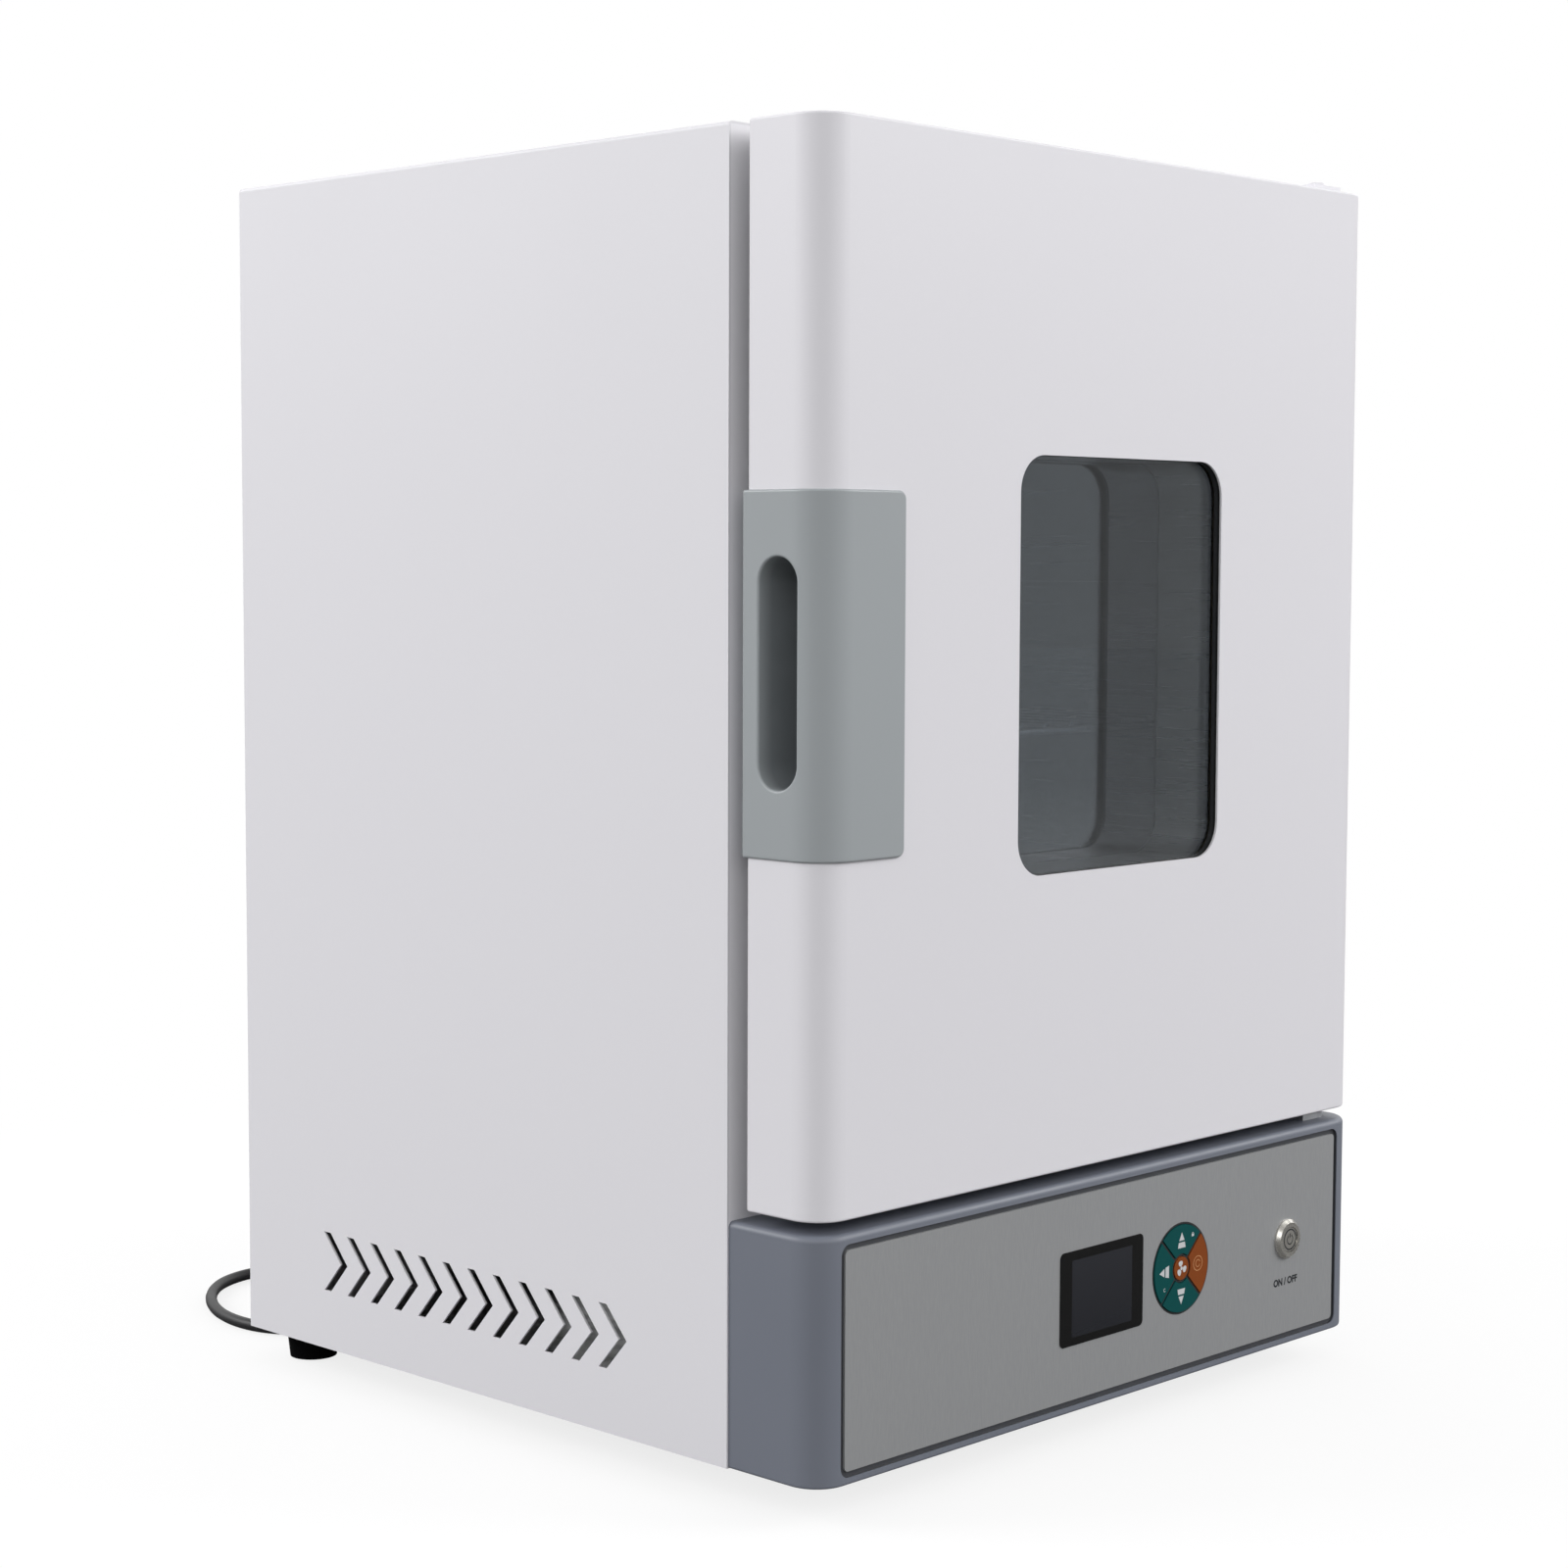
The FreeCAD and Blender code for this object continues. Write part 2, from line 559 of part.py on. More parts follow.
def make_baffle():
    """The pan in front of the fan: a round grille where it draws in and slots where it blows out."""
    body = new_body("air_baffle")
    half_width = "baffle_width / 2"
    half_height = "baffle_height / 2"
    prism(body, "XZ", "baffle_front", "chamber_back", rounded(
        f"-{half_width}", half_width, f"fan_line - {half_height}", f"fan_line + {half_height}",
        "baffle_round"))
    prism(body, "XZ", "baffle_front + sheet", "chamber_back + sheet", rounded(
        f"-{half_width} + sheet", f"{half_width} - sheet", f"fan_line - {half_height} + sheet",
        f"fan_line + {half_height} - sheet", "baffle_round - sheet"), cut=True)
    holes = [circle("0", "fan_line", "intake_hole")]
    for ring, count in ((1, 6), (2, 12)):
        for step in range(count):
            turn = f"{360 * step / count} deg"
            holes.append(circle(f"{ring} * intake_pitch * cos({turn})",
                                f"fan_line + {ring} * intake_pitch * sin({turn})", "intake_hole"))
    holes.append(circle("probe_shift", "fan_line + probe_up", "probe_radius"))
    prism(body, "XZ", "baffle_front - sheet", "baffle_front + 2 * sheet", *holes, cut=True)
    first = "fan_line - outlet_pitch * (outlet_count - 1) / 2"
    near = f"{half_width} - outlet_inset - outlet_length"
    far = f"{half_width} - outlet_inset"
    for low, high in ((f"-({far})", f"-({near})"), (near, far)):
        slot = prism(body, "XZ", "baffle_front - sheet", "baffle_front + 2 * sheet", rounded(
            low, high, f"{first} - outlet_slot / 2", f"{first} + outlet_slot / 2",
            "outlet_slot * 0.45"), cut=True)
        repeat(body, slot, "Z", "outlet_pitch", "outlet_count")
    keep(body, "air_baffle")


def make_impeller():
    """A centrifugal fan wheel on its own Z axis: back plate, hub, curved-back blades and an eye ring."""
    body = new_body("fan_impeller")
    prism(body, "XY", "0", "fan_plate", circle("0", "0", "fan_radius"), circle("0", "0", "shaft_radius"))
    prism(body, "XY", "0", "fan_width * 0.6", circle("0", "0", "hub_radius"),
          circle("0", "0", "shaft_radius"))
    blade = new_sketch(body, "XY", "0")
    draw_blade(blade)
    pad = body.newObject("PartDesign::Pad", "fan_impeller_blade")
    pad.Profile = blade
    bind(pad, Length="fan_width")
    doc.recompute()
    spin(body, pad, "blade_count")
    prism(body, "XY", "fan_width - fan_plate", "fan_width", circle("0", "0", "fan_radius"),
          circle("0", "0", "fan_eye"))
    body.Placement = FreeCAD.Placement(Vector(), FreeCAD.Rotation(Vector(1, 0, 0), 90))
    place(body, "0", "fan_rear", "fan_line")
    keep(body, "fan_impeller")


def draw_blade(sketch):
    """One blade's section: two arcs about one centre, joined at the eye and at the rim."""
    inner = amount("fan_eye - blade_step")
    outer = amount("fan_radius - blade / 2")
    bend = amount("blade_bend")
    wall = amount("blade")
    start = Vector(inner, 0, 0)
    lean = math.radians(amount("blade_lean"))
    centre = start + Vector(math.sin(lean), math.cos(lean), 0) * bend
    spread = centre.Length
    meet = math.acos((spread ** 2 + bend ** 2 - outer ** 2) / (2 * spread * bend))
    home = math.atan2(-centre.y, -centre.x)
    first = math.atan2(start.y - centre.y, start.x - centre.x)
    last = home + meet if first < home + meet else home - meet
    points = []
    for radius in (bend, bend + wall):
        for angle in (first, last):
            points.append(centre + Vector(math.cos(angle), math.sin(angle), 0) * radius)
    up = Vector(0, 0, 1)
    sketch.addGeometry(Part.ArcOfCircle(Part.Circle(centre, up, bend), first, last))
    sketch.addGeometry(Part.ArcOfCircle(Part.Circle(centre, up, bend + wall), first, last))
    sketch.addGeometry(Part.LineSegment(points[0], points[2]))
    sketch.addGeometry(Part.LineSegment(points[1], points[3]))


def make_rotor():
    """The motor's shaft through the wool, and the small fan behind the motor that cools it."""
    axis = ("0", "fan_line")
    keep(rod("fan_shaft", "Y", axis, "fan_front + fan_plate", "wool_back + motor_reach",
             "shaft_radius"), "fan_shaft")
    low = "motor_rear + cooling_gap"
    high = f"{low} + cooling_width"
    root = "(shaft_radius + cooling_hub / 2)"
    hub = rod("cooling_hub", "Y", axis, low, high, "shaft_radius + cooling_hub")
    blades = []
    for step in range(5):
        turn = FreeCAD.Rotation(Vector(0, 1, 0), 72 * step)
        tilt = FreeCAD.Rotation(Vector(0, 0, 1), amount("cooling_tilt"))
        reach = turn.multVec(Vector(0, 0, 1))
        chord = turn.multiply(tilt).multVec(Vector(1, 0, 0))
        across = turn.multiply(tilt).multVec(Vector(0, 1, 0))
        blade = doc.addObject("Part::Box", f"cooling_blade_{step}")
        bind(blade, Length="cooling_chord", Width="cooling_blade", Height=f"cooling_radius - {root}")
        blade.Placement = FreeCAD.Placement(Vector(), turn.multiply(tilt))
        back = [f"cooling_chord / 2 * ({chord[n]}) + cooling_blade / 2 * ({across[n]})" for n in range(3)]
        place(blade, f"({reach.x}) * {root} - ({back[0]})",
              f"{low} + cooling_width / 2 - ({back[1]})",
              f"fan_line + ({reach.z}) * {root} - ({back[2]})")
        blades.append(blade)
    bore = rod("cooling_bore", "Y", axis, f"{low} - 1", f"{high} + 1", "shaft_radius")
    keep(minus("cooling_fan", plus("cooling_wheel", hub, *blades), bore), "cooling_fan")


def make_motor():
    """The fan's motor: a can with two end bells and ribs, on a hat-shaped bracket on the rear panel."""
    axis = ("0", "fan_line")
    front_bell = "motor_front + motor_bell"
    rear_bell = "motor_rear - motor_bell"
    wide = "motor_radius - 2"
    narrow = f"{wide} - motor_slope"
    can = rod("motor_can", "Y", axis, front_bell, rear_bell, "motor_radius")
    bell = cone("motor_bell", "Y", axis, "motor_front", front_bell, narrow, wide)
    end = cone("motor_end", "Y", axis, rear_bell, "motor_rear", wide, narrow)
    bore = rod("motor_bore", "Y", axis, "motor_front - 1", "motor_rear + 1", "shaft_radius + running")
    keep(minus("fan_motor", plus("motor_shell", can, bell, end), bore), "fan_motor")
    body = new_body("motor_bracket")
    half = "bracket_width / 2"
    face = "motor_front - bracket"
    prism(body, "XY", "fan_line - bracket_height / 2", "fan_line + bracket_height / 2", outline(
        (f"-{half} - bracket_foot", "rear - sheet"), (f"-{half} - bracket_foot", "rear - sheet - bracket"),
        (f"-{half}", "rear - sheet - bracket"), (f"-{half}", face), (half, face),
        (half, "rear - sheet - bracket"), (f"{half} + bracket_foot", "rear - sheet - bracket"),
        (f"{half} + bracket_foot", "rear - sheet"), (f"{half} - bracket", "rear - sheet"),
        (f"{half} - bracket", "motor_front"), (f"-{half} + bracket", "motor_front"),
        (f"-{half} + bracket", "rear - sheet")))
    prism(body, "XZ", f"{face} - 1", "motor_front + 1", circle("0", "fan_line", "shaft_hole"), cut=True)
    keep(body, "motor_bracket")


def make_rear_cover():
    """The slotted guard over the motor's back end, with a screwed flange."""
    body = new_body("rear_cover")
    half = "cover_width / 2"
    inner = f"({half} - cover_flange)"
    prism(body, "XZ", "rear", "rear + cover_depth", rounded(
        f"-{inner}", inner, f"fan_line - {inner}", f"fan_line + {inner}", "cover_round"))
    prism(body, "XZ", "rear", "rear + sheet", rounded(
        f"-{half}", half, f"fan_line - {half}", f"fan_line + {half}", "cover_round"))
    prism(body, "XZ", "rear - sheet", "rear + cover_depth - sheet", rounded(
        f"-{inner} + sheet", f"{inner} - sheet", f"fan_line - {inner} + sheet",
        f"fan_line + {inner} - sheet", "cover_round - sheet"), cut=True)
    low = "fan_line - outlet_slot * (cover_slots - 1) * 0.8"
    slot = prism(body, "XZ", "rear + cover_depth - 2 * sheet", "rear + cover_depth + sheet", rounded(
        f"-{inner} + cover_flange", f"{inner} - cover_flange", f"{low} - outlet_slot / 3",
        f"{low} + outlet_slot / 3", "outlet_slot * 0.3"), cut=True)
    repeat(body, slot, "Z", "outlet_slot * 1.6", "cover_slots")
    keep(body, "rear_cover")


def make_heater():
    """A tubular ring heater round the fan wheel, its two ends bent back through the chamber's rear wall."""
    level = amount("chamber_back - heater_back")
    radius = amount("heater_radius")
    tube = amount("heater_tube")
    half_gap = math.asin(amount("heater_gap / 2") / radius)
    middle = Vector(0, level, amount("fan_line"))
    ring = []
    for side in (-1, 1):
        low = Vector(side * amount("heater_gap / 2"), level, middle.z - radius * math.cos(half_gap))
        ring.append(low)
    top = middle + Vector(0, 0, radius)
    arc = Part.Arc(ring[0], top, ring[1])
    reach = amount("wool_back + 2 * heater_tube") - level
    legs = [Part.makeCylinder(tube, reach, low, Vector(0, 1, 0)) for low in ring]
    loop = Part.Wire([arc.toShape()])
    start = Part.Wire([Part.Circle(ring[0], arc.tangent(arc.FirstParameter)[0], tube).toShape()])
    coil = loop.makePipeShell([start], True, True)
    knees = [Part.makeSphere(tube, low) for low in ring]
    shape = coil.multiFuse(legs + knees).removeSplitter()
    feature = doc.addObject("Part::Feature", "heater_coil")
    feature.Shape = shape
    keep(feature, "heater_coil")


def make_probe():
    axis = ("probe_shift", "fan_line + probe_up")
    stem = rod("probe_stem", "Y", axis, "baffle_front - probe_ahead", "wool_back + 10", "probe_radius")
    head = rod("probe_head", "Y", axis, "wool_back", "wool_back + 10", "probe_radius + 3")
    collar = rod("probe_collar", "Y", axis, "chamber_back - 3", "chamber_back", "probe_radius + 3")
    keep(plus("temperature_probe", stem, head, collar), "temperature_probe")


def make_exhaust():
    """The exhaust tube from the chamber's roof, its flange on the casing, and the turning damper on it."""
    axis = ("0", "exhaust_line")
    low = "chamber_roof"
    wall = "exhaust_radius - exhaust_wall"
    tube = rod("exhaust_tube", "Z", axis, low, "top", "exhaust_radius")
    flange = rod("exhaust_collar", "Z", axis, "top", "top + sheet", "exhaust_flange")
    bore = rod("exhaust_bore", "Z", axis, f"{low} - 1", "top + 2 * sheet", wall)
    pipe = minus("exhaust_pipe", plus("exhaust_outer", tube, flange), bore)
    span = block("exhaust_span", (f"-({wall}) - exhaust_wall / 2", f"{wall} + exhaust_wall / 2"),
                 ("exhaust_line - bridge / 2", "exhaust_line + bridge / 2"),
                 ("top + sheet - bridge_thick", "top + sheet"))
    hole = rod("exhaust_hole", "Z", axis, "top - 2 * bridge_thick", "top + 2 * sheet",
               "stem_radius + running")
    keep(minus("exhaust_duct", plus("exhaust_bridged", pipe, span), hole), "exhaust_duct")
    base = "top + sheet + clearance"
    lid = f"{base} + damper_tall"
    crown = cone("damper_crown", "Z", axis, f"{lid} - damper_slope", lid,
                 "damper_radius", "damper_radius - damper_wall")
    cup = rod("damper_cup", "Z", axis, base, f"{lid} - damper_slope", "damper_radius")
    inside = rod("damper_inside", "Z", axis, f"{base} - 1", f"{lid} - damper_slope + clearance",
                 "damper_radius - damper_wall")
    stem = rod("damper_stem", "Z", axis, "top + sheet - bridge_thick", f"{lid} - damper_wall", "stem_radius")
    windows = []
    for step in range(3):
        window = doc.addObject("Part::Box", f"damper_window_{step}")
        bind(window, Length="damper_radius + damper_wall", Width="damper_window",
             Height="damper_tall / 2 - damper_wall")
        turn = FreeCAD.Rotation(Vector(0, 0, 1), 120 * step)
        side = turn.multVec(Vector(0, -1, 0))
        window.Placement = FreeCAD.Placement(Vector(), turn)
        place(window, f"({side.x}) * damper_window / 2", f"exhaust_line + ({side.y}) * damper_window / 2",
              f"{base} + damper_wall")
        windows.append(window)
    flutes = []
    ring = "(damper_radius + flute_radius / 2)"
    for step in range(24):
        angle = f"{15 * step + 7.5} deg"
        spot = (f"{ring} * cos({angle})", f"exhaust_line + {ring} * sin({angle})")
        flutes.append(rod(f"damper_flute_{step}", "Z", spot, f"{lid} - 5", f"{lid} + 1", "flute_radius"))
    cap = minus("damper_shell", plus("damper_solid", crown, cup), inside, *windows, *flutes)
    keep(plus("exhaust_damper", cap, stem), "exhaust_damper")


def make_shelf(name, level):
    """A rounded frame of thick wire with thin rods welded on it from front to back, and one cross wire."""
    sides = ("chamber_left + shelf_side", "chamber_right - shelf_side")
    ends = ("front + shelf_front", "front + shelf_front + shelf_depth")
    inner_x = (f"{sides[0]} + shelf_round", f"{sides[1]} - shelf_round")
    inner_y = (f"{ends[0]} + shelf_round", f"{ends[1]} - shelf_round")
    wires = [rod(name + "_end", "X", (y, level), *inner_x, "shelf_wire") for y in ends]
    wires += [rod(name + "_side", "Y", (x, level), *inner_y, "shelf_wire") for x in sides]
    for angle, x, y in ((180, inner_x[0], inner_y[0]), (270, inner_x[1], inner_y[0]),
                        (0, inner_x[1], inner_y[1]), (90, inner_x[0], inner_y[1])):
        bend = doc.addObject("Part::Torus", name + "_bend")
        bend.Angle3 = 90
        bend.Placement = FreeCAD.Placement(Vector(), FreeCAD.Rotation(Vector(0, 0, 1), angle))
        bind(bend, Radius1="shelf_round", Radius2="shelf_wire")
        place(bend, x, y, level)
        wires.append(bend)
    wires.append(rod(name + "_cross", "X", (f"{ends[0]} + shelf_depth / 2",
                                            f"{level} + shelf_wire - shelf_rod - weld"),
                     *sides, "shelf_rod"))
    for step in range(int(amount("shelf_rods"))):
        x = f"{sides[0]} + ({between(*sides)}) * ({step} + 1) / (shelf_rods + 1)"
        wires.append(rod(f"{name}_rod_{step}", "Y", (x, f"{level} + rod_lift"),
                         f"{ends[0]} - shelf_rod / 2", f"{ends[1]} + shelf_rod / 2", "shelf_rod"))
    keep(plus(name, *wires), name)


def make_shelves():
    """Two wire shelves, and on each side wall a rack of ledges that they slide in on."""
    make_shelf("shelf_lower", "chamber_floor + shelf_low")
    make_shelf("shelf_upper", "chamber_floor + shelf_low + shelf_pitch")
    ends = ("front + shelf_front", "front + shelf_front + shelf_depth")
    for side, wall in (("left", "chamber_left"), ("right", "chamber_right")):
        items = []
        for y in (f"{ends[0]} + rail_foot", f"{ends[1]} - 2 * rail_foot"):
            items.append(block(f"rail_{side}_post", side_pair(side, wall, "rail_thick"),
                               (y, f"{y} + rail_foot"),
                               ("chamber_floor + rail_floor_gap", "chamber_roof - rail_roof_gap")))
        for number in range(4):
            level = f"chamber_floor + shelf_low + {number - 1} * shelf_pitch / 2 - shelf_wire"
            items.append(block(f"rail_{side}_ledge", side_pair(side, wall, "shelf_side + rail_width"),
                               ends, (f"{level} - rail_thick", level)))
        keep(plus("shelf_rail_" + side, *items), "shelf_rail_" + side)


def side_pair(side, wall, reach):
    """The low and high x of a piece that stands out from a side wall into the chamber."""
    if side == "left":
        return wall, f"{wall} + {reach}"
    return f"{wall} - ({reach})", wall


def make_door():
    """The door's outer pan: folded steel with rounded front corners, the window and the handle's notch."""
    body = new_body("door_shell")
    prism(body, "XY", "door_bottom", "top", outline(
        ("door_left", "door_rear"), ("door_left", "face", "corner_round"),
        ("door_right", "face", "corner_round"), ("door_right", "door_rear")))
    soften(body, "door_edge_round", lambda edge, middle: at(middle.z, "door_bottom") or at(middle.z, "top"))
    prism(body, "XY", "door_bottom + sheet", "top - sheet", outline(
        ("door_left + sheet", "door_rear + 1"),
        ("door_left + sheet", "face + sheet", "corner_round - sheet"),
        ("door_right - sheet", "face + sheet", "corner_round - sheet"),
        ("door_right - sheet", "door_rear + 1")), cut=True)
    prism(body, "XZ", "face - 1", "face + 2 * sheet", rounded(
        "window_left", "window_right", "window_low", "window_high", "window_round"), cut=True)
    prism(body, "XY", "handle_bottom", "handle_top", rectangle(
        "door_left - 1", "handle_core", "face - 1", "door_rear + 1"), cut=True)
    prism(body, "XY", "door_bottom - 1", "top + 1", circle("hinge_axis", "hinge_line", "bush_radius"),
          cut=True)
    keep(body, "door_shell")


def make_door_inside():
    """The door's stainless back, its insulation, the gasket on its back and the catch's magnet."""
    body = new_body("door_inner_panel")
    prism(body, "XZ", "panel_front", "door_rear",
          rectangle("door_left + sheet", "door_right - sheet", "door_bottom + sheet", "top - sheet"),
          rounded("window_left", "window_right", "window_low", "window_high", "window_round"))
    prism(body, "XY", "handle_bottom", "handle_top", rectangle(
        "door_left - 1", "handle_left + handle_lip", "face", "door_rear + 1"), cut=True)
    keep(body, "door_inner_panel")
    body = new_body("door_insulation")
    prism(body, "XY", "door_bottom + sheet", "top - sheet", outline(
        ("door_left + sheet", "panel_front"),
        ("door_left + sheet", "face + sheet", "corner_round - sheet"),
        ("door_right - sheet", "face + sheet", "corner_round - sheet"),
        ("door_right - sheet", "panel_front")))
    prism(body, "XZ", "face", "front", rounded(
        "window_left - glass_lap - 2", "window_right + glass_lap + 2", "window_low - glass_lap - 2",
        "window_high + glass_lap + 2", "window_round + glass_lap"), cut=True)
    prism(body, "XY", "handle_bottom", "handle_top", rectangle(
        "door_left - 1", "handle_core", "face - 1", "front"), cut=True)
    prism(body, "XY", "door_bottom", "top", circle("hinge_axis", "hinge_line", "bush_radius"), cut=True)
    keep(body, "door_insulation")
    body = new_body("door_gasket")
    hole = "gasket_offset"
    rim = "(gasket_offset + gasket_width)"
    prism(body, "XZ", "door_rear", "front - liner_sheet - clearance",
          rounded(f"chamber_left - {rim}", f"chamber_right + {rim}", f"chamber_floor - {rim}",
                  f"chamber_roof + {rim}", f"chamber_round + {rim}"),
          rounded(f"chamber_left - {hole}", f"chamber_right + {hole}", f"chamber_floor - {hole}",
                  f"chamber_roof + {hole}", f"chamber_round + {hole}"))
    soften(body, "gasket_width / 4", lambda edge, middle: at(middle.y, "front - liner_sheet - clearance"))
    keep(body, "door_gasket")
    sides = ("catch_line - catch_width / 2", "catch_line + catch_width / 2")
    half = "(catch_height / 2)"
    keep(block("door_magnet", sides, ("door_rear", "front - keeper - clearance"),
               (f"fan_line - {half}", f"fan_line + {half}")), "door_magnet")
    half = "(catch_height / 2 - keeper_extra)"
    keep(block("catch_keeper", sides, ("front - keeper", "front"),
               (f"fan_line - {half}", f"fan_line + {half}")), "catch_keeper")


def window_ring(name, low, high, inner, outer):
    """A flat ring or sleeve round the window, given how far its two edges lie outside the opening."""
    body = new_body(name)
    loops = [rounded(f"window_left - ({outer})", f"window_right + {outer}", f"window_low - ({outer})",
                     f"window_high + {outer}", f"window_round + {outer}")]
    if inner is not None:
        loops.append(rounded(f"window_left - {inner}", f"window_right + {inner}", f"window_low - {inner}",
                             f"window_high + {inner}", f"window_round + {inner}"))
    prism(body, "XZ", low, high, *loops)
    keep(body, name)


def make_window():
    """The double glazing: black seal, outer pane, steel sleeve and inner pane against the door's back."""
    window_ring("window_seal", "face + sheet", "glass_front", "0", "glass_lap")
    window_ring("window_outer_glass", "glass_front", "glass_back", None, "glass_lap")
    window_ring("window_sleeve", "glass_back", "inner_glass_front", "0", "sleeve_wall")
    window_ring("window_inner_glass", "inner_glass_front", "panel_front", None, "glass_lap")


def make_handle():
    """The moulded handle over the door's left edge, softly edged, with a finger slot in its side."""
    body = new_body("door_handle")
    nose = "face - handle_front"
    prism(body, "XY", "handle_bottom", "handle_top", outline(
        ("handle_left", "front - handle_rear", "handle_rear_round"),
        ("handle_left", nose, "corner_round + handle_front"),
        ("handle_right", nose),
        ("handle_right", "face"), ("handle_core", "face"), ("handle_core", "panel_front"),
        ("handle_left + handle_lip", "panel_front"), ("handle_left + handle_lip", "front - handle_rear")))
    soften(body, "handle_corner", lambda edge, middle: at(middle.x, "handle_right")
           and at(middle.y, "face - handle_front / 2"))
    soften(body, "handle_edge_round", lambda edge, middle: at(middle.y, nose)
           and not at(middle.x, "handle_left + corner_round + handle_front"))
    half = "grip_width / 2"
    middle = "front - grip_back"
    low = "bottom + grip_middle - grip_height / 2"
    prism(body, "YZ", "handle_left - 1", "handle_left + grip_depth", rounded(
        f"{middle} - {half}", f"{middle} + {half}", low, f"{low} + grip_height",
        f"{half} - running"), cut=True)
    soften(body, "grip_edge_round", lambda edge, middle: at(middle.x, "handle_left", slack=1)
           and at(middle.z, "bottom + grip_middle", slack=amount("grip_height / 2 + running")))
    keep(body, "door_handle")


def make_hinges():
    """The two hinges: a strap with a fixed pin over the door and one under it, and bushes in the door."""
    axis = ("hinge_axis", "hinge_line")
    half = "hinge_width / 2"
    plate = "top + hinge_lift + hinge_plate"
    strap = block("upper_strap", (f"hinge_axis - {half}", f"hinge_axis + {half}"),
                  ("hinge_line - hinge_nose", "front + hinge_tail"), ("top + hinge_lift", plate))
    foot = block("upper_foot", (f"hinge_axis - {half}", f"hinge_axis + {half}"),
                 ("front", "front + hinge_tail"), ("top", plate))
    pin = rod("upper_pin", "Z", axis, "top - bush_length + 1", plate, "pin_radius")
    head = cone("upper_head", "Z", axis, plate, f"{plate} + pin_head", "pin_radius + pin_head", "pin_radius")
    keep(plus("hinge_upper", strap, foot, pin, head), "hinge_upper")
    half = "lower_hinge_width / 2"
    strap = block("lower_strap", (f"hinge_axis - {half}", f"hinge_axis + {half}"),
                  ("hinge_line - hinge_nose", "front"), ("bezel_top", "bezel_top + hinge_plate"))
    tab = block("lower_tab", (f"hinge_axis - {half}", f"hinge_axis + {half}"),
                ("front - hinge_plate", "front"), ("bezel_top", "bezel_top + hinge_tab"))
    pin = rod("lower_pin", "Z", axis, "bezel_top", "door_bottom + bush_length - 1", "pin_radius")
    washer = rod("lower_washer", "Z", axis, "bezel_top + hinge_plate", "door_bottom - clearance",
                 "bush_radius")
    keep(plus("hinge_lower", strap, tab, pin, washer), "hinge_lower")
    bushes = []
    for name, low in (("upper", "top - bush_length"), ("lower", "door_bottom")):
        bush = rod(f"bush_{name}", "Z", axis, low, f"{low} + bush_length", "bush_radius")
        bore = rod(f"bush_{name}_bore", "Z", axis, f"{low} - 1", f"{low} + bush_length + 1",
                   "pin_radius + running")
        bushes.append(minus(f"bush_{name}_cut", bush, bore))
    keep(group("hinge_bushes", *bushes), "hinge_bushes")


def screen_sides(grow="0"):
    half_width = f"(screen_width / 2 + {grow})"
    half_height = f"(screen_height / 2 + {grow})"
    return (f"screen_shift - {half_width}", f"screen_shift + {half_width}",
            f"control_line - {half_height}", f"control_line + {half_height}")


def make_bezel():
    """The moulded control housing under the door: a hollow shell, open at the back, with its cut-outs."""
    body = new_body("control_bezel")
    prism(body, "XY", "bottom", "bezel_top", outline(
        ("bezel_left", "front"), ("bezel_left", "face", "corner_round"),
        ("bezel_right", "face", "corner_round"), ("bezel_right", "front")))
    soften(body, "bezel_edge_round", lambda edge, middle: at(middle.z, "bezel_top")
           and not at(middle.y, "front"))
    soften(body, "bezel_edge_round / 2", lambda edge, middle: at(middle.z, "bottom")
           and not at(middle.y, "front"))
    wall = "bezel_wall"
    prism(body, "XY", f"bottom + {wall}", f"bezel_top - {wall}", outline(
        (f"bezel_left + {wall}", "front + 1"), (f"bezel_left + {wall}", f"face + {wall} + groove_deep",
                                                f"corner_round - {wall}"),
        (f"bezel_right - {wall}", f"face + {wall} + groove_deep", f"corner_round - {wall}"),
        (f"bezel_right - {wall}", "front + 1")), cut=True)
    prism(body, "XZ", "face - 1", "label_back", rounded(
        "label_left - groove", "label_right + groove", "label_bottom - groove", "label_top + groove",
        "label_round + groove"), cut=True)
    prism(body, "XZ", "face", f"face + 3 * {wall}", rounded(*screen_sides("-2"), "screen_round"),
          circle("keypad_shift", "control_line", "keypad_radius"),
          circle("switch_line", "control_line", "barrel_radius"), cut=True)
    keep(body, "control_bezel")
    body = new_body("control_label")
    prism(body, "XZ", "label_front", "label_back",
          rounded("label_left", "label_right", "label_bottom", "label_top", "label_round"),
          rounded(*screen_sides(), "screen_round"),
          circle("keypad_shift", "control_line", "keypad_radius"),
          circle("switch_line", "control_line", "barrel_radius"))
    keep(body, "control_label")
    body = new_body("screen_window")
    prism(body, "XZ", "label_back - screen_glass", "label_back", rounded(*screen_sides(), "screen_round"))
    keep(body, "screen_window")
    half = "panel_width / 2"
    tall = "panel_height / 2"
    case = block("module_case", (f"screen_shift - {half}", f"screen_shift + {half}"),
                 ("label_back", "label_back + panel_deep"),
                 (f"control_line - {tall}", f"control_line + {tall}"))
    spine = block("module_spine", ("screen_shift - 12", "screen_shift + 12"),
                  ("label_back + panel_deep", "board_front"), ("control_line - 4", "control_line + 4"))
    keep(plus("display_module", case, spine), "display_module")


